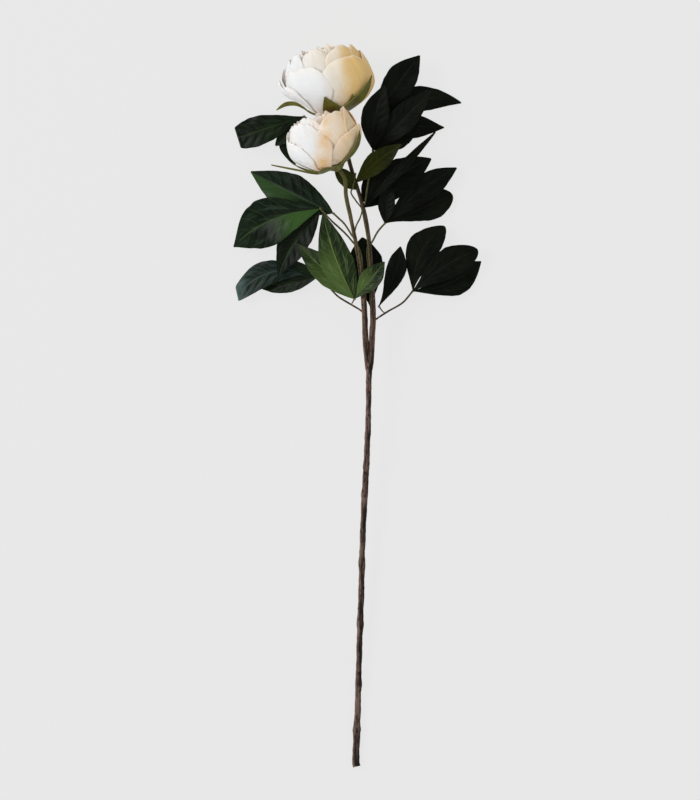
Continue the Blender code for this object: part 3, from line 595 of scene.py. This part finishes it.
def barkFinish(name, look):
    # Brown bark drawn out along the stem: painted light makes its left side pale and painted shade its
    # right side darker, with pale worn streaks and dark pits, and greener towards the blooms.
    finish = Finish(name, {"Specular IOR Level": 0.18})
    within, mix, plan = finish.within, finish.mix, barkPattern
    place = finish.place()
    streaks = finish.noise(finish.scaled(place, plan["streakStretch"]), plan["fineScale"], 5, 0.62)
    patches = finish.noise(finish.scaled(place, plan["patchStretch"]), plan["patchScale"], 4)
    pits = finish.noise(finish.scaled(place, plan["pitStretch"]), plan["fineScale"], 3)
    fromRight, _ = finish.uv()
    # painted light and shade: the stem's left side is painted paler and its right side darker
    lit = fromRight + (streaks - 0.5) * 0.5
    colour = mix(within(patches, *plan["patchRange"]), look["deep"], look["body"])
    colour = mix(within(lit, *plan["litRange"]) * plan["litShare"], colour, look["wornAndLit"])
    colour = mix(within(lit, *plan["darkRange"]) * plan["darkShare"], colour, look["deep"])
    wornAndLit = within(streaks + patches * 0.5, *plan["wornRange"])
    colour = mix(wornAndLit * plan["wornShare"], colour, look["wornAndLit"])
    colour = mix(within(pits, *plan["pitRange"]) * plan["pitShare"], colour, look["deep"])
    wayUp = finish.axis(place, "Y")
    colour = mix(within(wayUp, *look["greenWay"]) * look["greenShare"], colour, look["green"])
    finish.bump(streaks + pits * 0.35 + patches * 0.5, plan["relief"], plan["reliefStrength"])
    return finish.show(Base_Color=colour, Roughness=0.5 + patches * 0.3)


# The pale colour serves both the worn streaks and the painted light on the stem's left side.
barkLooks = {
    "bark": dict(deep=(0.004, 0.002, 0.001), body=(0.042, 0.019, 0.012), wornAndLit=(0.27, 0.18, 0.145),
                 green=(0.06, 0.05, 0.015), greenWay=(0.05, 0.2), greenShare=0.3),
    "greenBark": dict(deep=(0.005, 0.003, 0.001), body=(0.042, 0.021, 0.012), wornAndLit=(0.24, 0.165, 0.11),
                      green=(0.085, 0.09, 0.022), greenWay=(0.15, 0.24), greenShare=0.7),
    "stalk": dict(deep=(0.012, 0.006, 0.004), body=(0.055, 0.028, 0.016), wornAndLit=(0.24, 0.17, 0.10),
                  green=(0.10, 0.11, 0.03), greenWay=(0.08, 0.2), greenShare=0.55),
}
barkMaterials = {name: barkFinish("stem_" + name, look) for name, look in barkLooks.items()}


# distances over the bloom are in metres
# The gold range sets painted shade on the bloom's right side; the foot, tuck and fold values set painted
# shade in peach at each petal's foot, under a neighbour's edge and along a crease.
petalPattern = {
    "cloudScale": 30, "cloudShift": 0.022, "topRange": (0.0, 0.024), "creamFrom": -0.004, "creamTo": 0.022,
    "shadeGoldRange": (0.35, 1.0), "lineRun": (34, 2.2), "crinkleScale": 190, "tuckShadeRange": (0.4, 0.2),
    "footShadeRange": (0.5, 0.0), "lineRange": (0.5, 0.8), "footShadeShare": 0.3, "lineShare": 0.25,
    "tuckShadeShare": 0.25, "coolDeep": 0.22, "warmDeep": 0.6, "foldShadeRange": (0.012, 0.0),
    "foldShadeCloud": (0.35, 0.6), "rimRange": (0.93, 1.0), "rimShare": 0.4, "relief": 0.0009,
    "reliefStrength": 0.5,
}


def petalFinish(name, look):
    # Soft cream cloth: cool white on the bloom's left and golden with painted shade on its right, deeper
    # peach with painted shade towards each petal's foot, under its neighbour's edge and along a fold, with
    # fine lines along each petal and a faint crinkle.
    finish = Finish(name, {"Subsurface Weight": 0.35, "Subsurface Radius": (1.0, 0.62, 0.42),
                           "Subsurface Scale": 0.004, "Specular IOR Level": 0.2,
                           "Sheen Weight": 0.06, "Sheen Roughness": 0.5})
    within, mix, plan = finish.within, finish.mix, petalPattern
    u, v = finish.uv()
    place = finish.place()
    offset = finish.node("ShaderNodeVectorMath", {"operation": "SUBTRACT"}, {0: place, 1: look["centre"]})
    toRight, upward = finish.measured(offset, look["way"]), finish.measured(offset, look["up"])
    cloud = finish.noise(place, plan["cloudScale"], 3)
    across = toRight + (cloud - 0.5) * plan["cloudShift"]
    # painted shade: none on the bloom's left, full on its right
    shadeSide = within(across, look["coolEnd"], look["warmEnd"])
    creamy = within(across + within(upward, *plan["topRange"]) * look["topWarm"],
                    look["coolEnd"] + plan["creamFrom"], look["coolEnd"] + plan["creamTo"])
    alongRun, upRun = plan["lineRun"]
    lines = finish.noise(finish.vector(u * alongRun, v * upRun, 0.0), 1.0, 4, 0.6)
    crinkle = finish.noise(place, plan["crinkleScale"], 4, 0.6)
    colour = mix(creamy, look["cool"], look["cream"])
    colour = mix(within(shadeSide, *plan["shadeGoldRange"]), colour, look["shadeGold"])
    # painted shade in peach at each petal's foot and in the strip under its neighbour's edge, stronger on
    # the bloom's right, together with the petals' real fine lines
    deep = (within(v, *plan["footShadeRange"]) * plan["footShadeShare"]
            + within(lines, *plan["lineRange"]) * plan["lineShare"]
            + within(u, *plan["tuckShadeRange"]) * plan["tuckShadeShare"])
    # painted shade: a peach band along a crease at a set place across the bloom
    fold = within(finish.size(toRight - look["fold"]), *plan["foldShadeRange"]) * look["foldShadeShare"]
    colour = mix(deep * (plan["coolDeep"] + shadeSide * plan["warmDeep"])
                 + fold * within(cloud, *plan["foldShadeCloud"]), colour, look["peach"])
    colour = mix(within(v, *plan["rimRange"]) * plan["rimShare"], colour, look["rim"])
    finish.bump(lines * 0.9 + crinkle * 0.6 + cloud * 1.5, plan["relief"], plan["reliefStrength"])
    return finish.show(Base_Color=colour, Roughness=0.62 + crinkle * 0.2)


sepalLook = {
    "green": (0.13, 0.135, 0.018), "brown": (0.09, 0.07, 0.012), "pale": (0.30, 0.32, 0.11),
    "lineRun": (16, 1.5), "lineRange": (0.5, 0.75), "lineShare": 0.35, "patchScale": 90,
    "patchRange": (0.35, 0.65), "marginRange": (0.8, 1.0), "marginShare": 0.3, "relief": 0.0005,
    "reliefStrength": 0.6,
}


def sepalFinish(name, look):
    # olive green with lines along the sepal, browner patches and a paler margin
    finish = Finish(name, {"Specular IOR Level": 0.3})
    within, mix = finish.within, finish.mix
    u, v = finish.uv()
    alongRun, upRun = look["lineRun"]
    lines = finish.noise(finish.vector(u * alongRun, v * upRun, 0.0), 1.0, 3)
    patches = finish.noise(finish.place(), look["patchScale"], 4)
    colour = mix(within(patches, *look["patchRange"]), look["green"], look["brown"])
    colour = mix(within(lines, *look["lineRange"]) * look["lineShare"], colour, look["pale"])
    margin = within(finish.size(u * 2 - 1), *look["marginRange"]) * look["marginShare"]
    colour = mix(margin, colour, look["pale"])
    finish.bump(lines + patches * 0.6, look["relief"], look["reliefStrength"])
    return finish.show(Base_Color=colour, Roughness=0.48 + patches * 0.2)


def bloomPlace(bloom, height):
    # a point on the bloom's axis in the frame, in metres
    foot, along, _, _ = bloomAxes(bloom)
    return tuple((foot + height * along + shift) * mm)


# Per bloom, the gold colour is painted shade on its right side between coolEnd and warmEnd, peach is painted
# shade deep in the bloom and the colour of the fine lines, and fold is where a painted shade band runs along
# a crease.
petalLooks = {
    "upper": dict(centre=bloomPlace(blooms["upper"], 36), way=(0.99, 0.02, -0.1), up=(-0.27, 0.95, 0.1),
                  topWarm=0.018, coolEnd=-0.012, warmEnd=0.028, cool=(0.97, 0.935, 0.91),
                  cream=(0.95, 0.82, 0.66), shadeGold=(0.88, 0.54, 0.21), peach=(0.92, 0.60, 0.36),
                  rim=(0.97, 0.91, 0.83), fold=0.0, foldShadeShare=0.12),
    "lower": dict(centre=bloomPlace(blooms["lower"], 26), way=(0.95, 0.0, -0.1), up=(-0.5, 0.85, 0.1),
                  topWarm=0.004, coolEnd=-0.018, warmEnd=0.028, cool=(0.97, 0.93, 0.90),
                  cream=(0.95, 0.79, 0.64), shadeGold=(0.93, 0.66, 0.40), peach=(0.92, 0.54, 0.27),
                  rim=(0.97, 0.91, 0.84), fold=-0.003, foldShadeShare=1.0),
}
petalMaterials = {which: petalFinish("petals_" + which, look) for which, look in petalLooks.items()}
sepalMaterial = sepalFinish("sepals", sepalLook)


# stalks that run on down their stem: from, to (along the stem), and the turn from its front to its right
strands = {
    "middle_left_upper": (446, 546, 20), "middle_left_lower": (430, 540, 80), "low_left": (420, 472, 60),
    "low_right": (420, 464, -70), "middle_right": (440, 542, -95), "top_right": (470, 580, -30),
}
# a thin brown tendril that winds down past the bloom stems
vine = [(-2, 622, 41), (-4.9, 607, 46), (-6.8, 601, 49), (-1.2, 592, 48), (4.5, 584, 44), (2.5, 575, 44),
        (-2.1, 565, 47), (-3.4, 552, 47), (-1.6, 538, 45)]


def joinPoint(which):
    # where a bloom's stem ends inside the main stem
    top, nearby = stemLines["main"][-1], stemLines["main"][-8]
    return nearby + (stemLines[which][0] - top) * 0.5 * (1, 0, 0)


def strandPoints(name, stem):
    # points of the strand that a stalk draws along its stem, some way down on the given side of it
    if name not in strands:
        return []
    low, high, turn = strands[name]
    line, places = stemLines[stem], np.linspace(low, high, 5)
    centres = np.stack([np.interp(places, line[:, 1], line[:, k]) for k in range(3)], axis=-1)
    off = stems["bloomRadius"] + stalks["radius"] * stalks["strandSink"]
    return [tuple(p) for p in centres + off * np.array((sin(radians(turn)), 0, cos(radians(turn))))]


line = stemLines["main"]
wayUp = line[:, 1]
main, fork = stems["mainRadius"], stems["forkRadius"]
radii = np.interp(wayUp, stems["radiusPlaces"],
                  [stems["cutRadius"], main, main, fork * stems["forkEase"], fork])
for place in stems["nodePlaces"]:
    radii = radii * (1 + stems["nodeSwell"] * np.exp(-(((wayUp - place) / stems["nodeLength"]) ** 2)))
addPiece("main_stem_bark", [tubePart(line, radii, 32, stems["lumps"], 3)], barkMaterials["bark"],
         ["main_stem"])
for which, finishName in (("lower", "greenBark"), ("upper", "bark")):
    line = np.concatenate([[joinPoint(which)], stemLines[which]])
    wayUp = line[:, 1]
    radii = np.full(len(line), stems["bloomRadius"]) * (1 + stems["bloomWander"] * wander(wayUp / 22, 5))
    radii = radii * np.interp(wayUp, stems["swellPlaces"], [stems["swell"], 1.0])
    addPiece(which + "_bloom_stem_bark", [tubePart(line, radii, 26, stems["bloomLumps"], 7)],
             barkMaterials[finishName], [which + "_bloom_stem"])
for number, name in enumerate(stalkNames):
    plan = stalks[name]
    stem, wayUp = plan["on"]
    start = beside(stemLines[stem], wayUp, stems["bloomRadius"], stalks["radius"], plan["line"][0])
    routes = [smoothLine([*strandPoints(name, stem), tuple(start), *plan["line"]], stalks["step"])]
    if "branch" in plan:
        routes.append(smoothLine(plan["branch"], stalks["step"]))
    thin = stalks["strandThin"] if name in strands else 1
    parts = []
    for route in routes:
        share = np.interp(np.arange(len(route)), [0, stalks["strandEase"]], [thin, 1])
        parts.append(tubePart(route, stalks["radius"] * share, 18, stalks["lumps"], 20 + number))
    knobRadius = stalks["knob"] * stalks["knobShare"]
    parts += [ballPart(centre, knobRadius, 40 + number) for (owner, _), centre in knobs.items()
              if owner in (name, name + "_twig")]
    addPiece("stalk_" + name + "_green", parts, barkMaterials["stalk"], ["stalk_" + name])
vineLine = smoothLine(vine, stalks["step"])
vineRadii = np.full(len(vineLine), stalks["radius"] * stalks["vineRadius"])
addPiece("stem_vine_brown", [tubePart(vineLine, vineRadii, 16, stalks["vineLumps"], 60)],
         barkMaterials["stalk"], ["stalk_top_right"])
print("stage: stems and stalks")

for number, (name, plan) in enumerate(leaves.items()):
    grid, uv = leafGrid(plan, leafRelief["rows"], leafRelief["columns"], leafRelief, number)
    slotName = "olive_leaf" if name in ("single", "bract") else "green_leaf"
    addPiece("leaf_" + name + "_blade", [sheetPart(grid, uv)], leafMaterials[plan["look"]],
             ["leaf_" + name], leafRelief["thickness"])
print("stage: leaves")


# Shape of a bloom's side. turn and ease shape the belly; pinwheel lays one petal edge over the next; corner,
# drop, rimWave, notchWidth and frill shape a petal's rim; taper narrows it at the foot; roll and crease
# bend its face; slimAt and slimOver say where up the bloom its left side is drawn in.
cup = {"turn": 0.72, "ease": 0.5, "pinwheel": 1.3, "corner": 0.3, "cornerPower": 5, "drop": 0.24,
       "dropPower": 2.3, "rimWave": 0.018, "notchWidth": 0.13, "frill": 0.006, "taper": 0.62,
       "taperPower": 0.8, "roll": 0.5, "crease": 0.42, "slimAt": 0.2, "slimOver": 0.25, "thinnest": 0.6}

# Petals by the node they stand for: at (degrees from the front to the right), span, reach (share of
# the bloom's height), inset from the outside, foot radius, curl (out + or in - at the rim), ruffle,
# drop (how far the rim falls at its corners), frill (fine teeth of the rim), notch (place and depth)
petals = {
    "upper": {
        "upper_petal_1": [
            dict(at=-40, span=90, reach=0.84, inset=0.0, foot=6.0, curl=-3.5, ruffle=0.9, drop=0.22,
                 notch=(-0.1, 0.03)),
            dict(at=-66, span=62, reach=0.62, inset=-1.2, foot=6.0, curl=0.4, ruffle=0.9, drop=0.3),
        ],
        "upper_petal_2": [dict(at=30, span=92, reach=0.82, inset=-1.4, foot=6.0, curl=-2.5, ruffle=1.0,
                               drop=0.24)],
        "upper_petal_3": [dict(at=104, span=98, reach=0.84, inset=0.0, foot=6.0, curl=-2.0, ruffle=1.2,
                               drop=0.25)],
        "upper_petal_4": [dict(at=176, span=98, reach=0.86, inset=0.0, foot=6.0, curl=-3.0, ruffle=1.2)],
        "upper_petal_5": [
            dict(at=-106, span=90, reach=0.88, inset=0.0, foot=6.0, curl=-2.0, ruffle=1.2, drop=0.25),
            dict(at=-86, span=54, reach=0.74, inset=-1.0, foot=6.0, curl=0.6, ruffle=1.0, drop=0.3),
        ],
        "upper_petal_6": [
            dict(at=-64, span=80, reach=1.04, inset=3.6, foot=3.0, curl=-7, ruffle=0.8, drop=0.24),
            dict(at=-14, span=84, reach=1.06, inset=5.4, foot=3.0, curl=-9, ruffle=0.8, drop=0.2,
                 notch=(-0.3, 0.04)),
            dict(at=44, span=104, reach=0.99, inset=3.6, foot=3.0, curl=-5, ruffle=0.7, drop=0.18),
        ],
        "upper_petal_7": [
            dict(at=88, span=80, reach=0.96, inset=3.0, foot=3.0, curl=-3, ruffle=0.9),
            dict(at=140, span=84, reach=0.99, inset=6.2, foot=3.0, curl=-6, ruffle=0.9),
        ],
        "upper_petal_8": [
            dict(at=-104, span=84, reach=1.0, inset=3.4, foot=3.0, curl=-6, ruffle=1.0),
            dict(at=-155, span=84, reach=1.04, inset=6.2, foot=3.0, curl=-8, ruffle=1.0),
        ],
    },
    "lower": {
        "lower_petal_1": [dict(at=50, span=100, reach=0.52, inset=-0.8, foot=5.4, curl=1.4, ruffle=0.6,
                               drop=0.2)],
        "lower_petal_2": [dict(at=128, span=110, reach=0.80, inset=0.0, foot=5.4, curl=3.0, ruffle=0.8)],
        "lower_petal_3": [dict(at=-138, span=118, reach=0.96, inset=0.0, foot=5.4, curl=-3.0, ruffle=1.0,
                               frill=0.02)],
        "lower_petal_4": [
            dict(at=-52, span=124, reach=1.08, inset=0.0, foot=5.4, curl=-6.0, ruffle=0.9, frill=0.022,
                 drop=0.2),
            dict(at=-70, span=80, reach=0.86, inset=-1.0, foot=5.4, curl=-1.0, ruffle=0.8, frill=0.025,
                 drop=0.25),
        ],
        "lower_petal_5": [
            dict(at=-24, span=96, reach=1.12, inset=3.0, foot=2.6, curl=-8, ruffle=0.9, frill=0.016),
            dict(at=36, span=104, reach=0.96, inset=1.2, foot=3.6, curl=0.5, ruffle=0.6, drop=0.22),
        ],
        "lower_petal_6": [dict(at=90, span=104, reach=0.88, inset=2.0, foot=2.6, curl=4.0, ruffle=0.8)],
        "lower_petal_7": [dict(at=-140, span=140, reach=1.04, inset=4.2, foot=2.6, curl=-6, ruffle=1.0,
                               frill=0.02)],
    },
}
# The crowded middle, tier by tier from the outside: count, first, span, reach, inset
hearts = {
    "upper": [
        dict(count=5, first=8, span=84, reach=1.04, inset=13.5),
        dict(count=5, first=40, span=86, reach=1.05, inset=20.5),
        dict(count=4, first=5, span=104, reach=1.03, inset=28.5),
        dict(count=3, first=30, span=124, reach=1.0, inset=36),
    ],
    "lower": [
        dict(count=5, first=0, span=88, reach=1.0, inset=10.5),
        dict(count=4, first=36, span=104, reach=1.0, inset=17),
        dict(count=3, first=10, span=126, reach=0.97, inset=24.5),
    ],
}
heartPetal = dict(foot=1.6, curl=-6, ruffle=1.2, frill=0.008)
heartUneven = {"reach": 0.03, "notchAt": 0.15, "notch": 0.02}
petalCloth = {"thickness": 0.36, "rows": 40, "columns": 41, "heartRows": 30, "heartColumns": 29,
              "firstSeed": {"upper": 100, "lower": 200}}


def cupRadius(s, foot, widest):
    # narrow foot, full belly, slightly drawn in rim: a sine of the root of the way up
    return foot + (widest - foot) * np.sin(cup["turn"] * pi * np.clip(s, 0, None) ** cup["ease"])


def slimmer(bloom, s, around):
    # how much narrower the bloom is low on its left than an even cup: a bell curve of the height
    leftward = np.clip(-np.sin(around), 0, 1) ** 2
    return bloom["slim"] * leftward * np.exp(-(((s - cup["slimAt"]) / cup["slimOver"]) ** 2))


def petalPart(bloom, petal, seed, rows, columns):
    # A patch of the cup's side. Its rim falls away at the corners, dips at a notch and is finely
    # toothed by frill; the sheet ruffles and curls more the nearer it is to the rim, and one edge lies
    # outside the other.
    foot, along, front, right = bloomAxes(bloom)
    v, t = np.linspace(0, 1, rows)[:, None], np.linspace(-1, 1, columns)[None, :]
    rim = 1 - petal.get("drop", cup["drop"]) * np.abs(t) ** cup["dropPower"]
    rim = rim + cup["rimWave"] * wander(t * 3.2, seed, 5)
    rim = rim - cup["corner"] * (1 - (1 - np.abs(t) ** cup["cornerPower"]) ** 0.5)
    if "notch" in petal:
        place, depth = petal["notch"]
        rim = rim - depth * np.exp(-(((t - place) / cup["notchWidth"]) ** 2))
    rim = rim + petal.get("frill", cup["frill"]) * wander(t * 21, seed + 9, 4)
    s = v * petal["reach"] * (1 + (rim - 1) * v)
    opening = 0.5 + 0.5 * np.sin(cup["taper"] * pi * v ** cup["taperPower"])
    around = np.radians(petal["at"] + t * petal["span"] / 2 * opening)
    radius = cupRadius(s, petal["foot"], bloom["radius"] - petal["inset"])
    radius = radius + cup["pinwheel"] * t * (0.4 + 0.6 * np.sqrt(v))
    radius = radius + petal["ruffle"] * v ** 2 * wander(t * 4.4 + 0.9 * v, seed + 3, 5)
    radius = radius + petal["curl"] * v ** 3 + cup["roll"] * v * wander(t * 2.1 + v * 2.6, seed + 5, 3)
    radius = radius + cup["crease"] * np.sqrt(v) * wander(t * 6.2 + 1.1 * v, seed + 12, 5)
    radius = np.maximum(radius - slimmer(bloom, s, around), cup["thinnest"])
    height = bloom["height"] * s
    grid = (foot + height[..., None] * along + (radius * np.cos(around))[..., None] * front
            + (radius * np.sin(around))[..., None] * right)
    return sheetPart(grid, np.stack(np.broadcast_arrays(0.5 + 0.5 * t, v), axis=-1))


# Sepals: at (degrees at foot and tip), length, width, spread (how far the tip stands off the petals), full
# (where it is widest), twist, and path (radius and height) for one that leaves the petals.
calyxes = {
    "flare": 2.8, "neck": 2.4, "lip": 1.2, "sink": 2.8, "tuck": 2.4, "sinkPower": 6, "tip": 0.35,
    "start": 0.22, "dish": 0.5, "rib": 0.35, "ribWidth": 0.2, "wave": 0.4, "thickness": 0.6,
    "bowlLip": 0.3, "bowlWaves": 0.03,
    "upper": [
        dict(at=(-92, -88), width=5, full=0.72, twist=70,
             path=[(8.8, 0), (15, 1), (25, 8), (31, 16), (38, 22), (48, 24), (59, 21)]),
        dict(at=(-62, -74), length=38, width=12, spread=1.2),
        dict(at=(0, -8), length=50, width=20, spread=1.0, full=0.5),
        dict(at=(25, 26), length=44, width=13, spread=0.8),
        dict(at=(10, 54), length=58, width=24, spread=5),
        dict(at=(176, 176), length=36, width=14, spread=1),
    ],
    "lower": [
        dict(at=(-88, -90), width=3.0, full=0.5, twist=60,
             path=[(8.8, 0), (22, 2.0), (38, 16.0), (59, 34.0)]),
        dict(at=(-52, -72), length=48, width=12, spread=1.5),
        dict(at=(-18, -30), length=27, width=22, spread=0.8),
        dict(at=(18, 60), length=44, width=19, spread=2.2),
        dict(at=(170, 170), length=30, width=12, spread=1),
    ],
}


def sepalPart(bloom, sepal, seed, rows=48, columns=13):
    # A narrow pointed blade that starts in the bowl, follows the cup outside the petals and spreads off,
    # or keeps to its own path. Its width is a sine of the way along, and it is dished about a rib.
    foot, along, front, right = bloomAxes(bloom)
    v, t = np.linspace(0, 1, rows)[:, None], np.linspace(-1, 1, columns)[None, :]
    dense = np.linspace(0, 1.1, 300)
    flare = calyxes["flare"]
    pathRadius = cupRadius(dense, bloom["footRadius"] + flare, bloom["radius"] + flare)
    pathHeight = bloom["height"] * dense
    travelled = np.concatenate([[0], np.cumsum(np.hypot(np.diff(pathRadius), np.diff(pathHeight)))])
    if "path" in sepal:
        route = smoothLine([(r, h, 0) for r, h in sepal["path"]], 1.0)
        way = np.linspace(0, 1, len(route))
        radius, rise = np.interp(v, way, route[:, 0]), np.interp(v, way, route[:, 1])
    else:
        run = v * sepal["length"]
        radius = np.interp(run, travelled, pathRadius) + sepal["spread"] * v ** 2
        rise = np.interp(run, travelled, pathHeight)
    middle = np.radians(sepal["at"][0] + (sepal["at"][1] - sepal["at"][0]) * v)
    if "path" not in sepal:
        radius = radius - slimmer(bloom, rise / bloom["height"], middle)
    nearFoot = (1 - v) ** calyxes["sinkPower"]
    rise, radius = rise - calyxes["sink"] * nearFoot, radius - calyxes["tuck"] * nearFoot
    start = calyxes["start"]
    power = np.log(0.5) / np.log(start + (1 - start) * sepal.get("full", 0.4))
    swell = np.clip(np.sin(pi * (start + (1 - start) * v) ** power), 0, 1)
    half = calyxes["tip"] + (sepal["width"] / 2 - calyxes["tip"]) * swell
    twist = radians(sepal.get("twist", 0)) * np.clip(v * 2.5, 0, 1)
    around = middle + t * half * np.cos(twist) / radius
    rise = rise + t * half * np.sin(twist)
    relief = calyxes["dish"] * (t ** 2) - calyxes["rib"] * np.exp(-((t / calyxes["ribWidth"]) ** 2))
    radius = radius + relief * swell + calyxes["wave"] * v * wander(v * 6 + t, seed, 4)
    grid = (foot + (rise + 0 * t)[..., None] * along + (radius * np.cos(around))[..., None] * front
            + (radius * np.sin(around))[..., None] * right)
    return sheetPart(grid, np.stack(np.broadcast_arrays(0.5 + 0.5 * t, v), axis=-1))


def bowlPart(bloom, columns=40):
    # the small bowl under the petals: a profile of radius and height turned round the bloom's axis
    foot, along, front, right = bloomAxes(bloom)
    wide = bloom["footRadius"] + calyxes["flare"] + calyxes["lip"]
    depth, neck = seat["calyxDepth"], calyxes["neck"]
    lip = -seat["gap"] - calyxes["bowlLip"]
    profile = smoothLine([(neck, -depth, 0), (1.75 * neck, -0.86 * depth, 0),
                          (0.75 * wide, -0.55 * depth, 0), (wide, lip - 1, 0), (wide - 0.5, lip, 0)], 0.7)
    angle = np.arange(columns) * 2 * pi / columns
    radius = profile[:, :1] * (1 + calyxes["bowlWaves"] * np.sin(5 * angle))
    rings = (foot + profile[:, 1][:, None, None] * along + (radius * np.cos(angle))[..., None] * front
             + (radius * np.sin(angle))[..., None] * right)
    uv = np.stack(np.broadcast_arrays(1 - np.abs(angle / pi - 1), profile[:, 1:2] / depth + 1), axis=-1)
    return turnedPart(rings, foot - depth * along, foot + lip * along, uv)


for which, bloom in blooms.items():
    rows, columns = petalCloth["rows"], petalCloth["columns"]
    seed = petalCloth["firstSeed"][which]
    for node, group in petals[which].items():
        parts = [petalPart(bloom, petal, seed + k, rows, columns) for k, petal in enumerate(group)]
        addPiece(node + "_cloth", parts, petalMaterials[which], [node],
                 petalCloth["thickness"])
        seed += 10
    parts = []
    for tier in hearts[which]:
        for k in range(tier["count"]):
            uneven = 1 + heartUneven["reach"] * float(wander(k * 1.7 + tier["inset"], 8))
            petal = dict(heartPetal, at=tier["first"] + 360 / tier["count"] * k, span=tier["span"],
                         inset=tier["inset"], reach=tier["reach"] * uneven,
                         notch=(heartUneven["notchAt"] * (-1) ** k, heartUneven["notch"]))
            parts.append(petalPart(bloom, petal, seed, petalCloth["heartRows"],
                                   petalCloth["heartColumns"]))
            seed += 1
    addPiece(which + "_heart_cloth", parts, petalMaterials[which], [which + "_heart"],
             petalCloth["thickness"])
    addPiece(which + "_calyx_bowl", [bowlPart(bloom)], sepalMaterial, [which + "_calyx"])
    parts = [sepalPart(bloom, sepal, 300 + k) for k, sepal in enumerate(calyxes[which])]
    addPiece(which + "_sepals", parts, sepalMaterial, [which + "_calyx"], calyxes["thickness"])
print("stage: blooms")


floorLook = {"half": 6, "grey": 0.06, "glow": 0.75, "rough": 0.9}
half, grey = floorLook["half"], floorLook["grey"]
floorMesh = bpy.data.meshes.new("floor")
floorMesh.from_pydata([(-half, -half, 0), (half, -half, 0), (half, half, 0), (-half, half, 0)], [],
                      [(0, 1, 2, 3)])
floor = bpy.data.objects.new("floor", floorMesh)
bpy.context.scene.collection.objects.link(floor)
floorFinish = Finish("floor_paper", {"Roughness": floorLook["rough"], "Specular IOR Level": 0.0,
                                     "Base Color": (grey, grey, grey, 1), "Emission Color": (1, 1, 1, 1),
                                     "Emission Strength": floorLook["glow"]})
floorMesh.materials.append(floorFinish.material)

# metres and watts, and millimetres for the lens; the camera looks straight down on aim, and both lamps
# point at target
studio = {
    "distance": 4.5, "planeHeight": 0.04, "lens": 194.0, "sensor": 36.0, "farthest": 50,
    "aim": (-0.0079, 0.0080), "target": (0, 0.2, 0.03), "worldStrength": 0.6,
    "key": {"place": (-2.3, 0.8, 3.0), "size": 1.6, "power": 66.0, "colour": (1.0, 0.99, 0.97)},
    "fill": {"place": (0.2, -1.0, 3.6), "size": 3.0, "power": 6.0, "colour": (1.0, 0.98, 0.95)},
}
for name in ("key", "fill"):
    plan = studio[name]
    lamp = bpy.data.lights.new(name, "AREA")
    lamp.shape, lamp.size, lamp.energy, lamp.color = "DISK", plan["size"], plan["power"], plan["colour"]
    holder = bpy.data.objects.new(name, lamp)
    bpy.context.scene.collection.objects.link(holder)
    holder.location = plan["place"]
    holder.rotation_mode = "QUATERNION"
    toTarget = Vector(studio["target"]) - Vector(plan["place"])
    holder.rotation_quaternion = toTarget.to_track_quat("-Z", "Y")
world = bpy.data.worlds.new("studio")
world.use_nodes = True
sky = world.node_tree.nodes["Background"]
sky.inputs["Color"].default_value = (1, 1, 1, 1)
sky.inputs["Strength"].default_value = studio["worldStrength"]
bpy.context.scene.world = world

lens = bpy.data.cameras.new("camera")
lens.sensor_fit, lens.sensor_height, lens.lens = "VERTICAL", studio["sensor"], studio["lens"]
lens.clip_end = studio["farthest"]
camera = bpy.data.objects.new("camera", lens)
bpy.context.scene.collection.objects.link(camera)
camera.location = (*studio["aim"], studio["distance"] + studio["planeHeight"])
bpy.context.scene.camera = camera
bpy.context.scene.view_settings.view_transform = "Standard"

print("stage: all set")
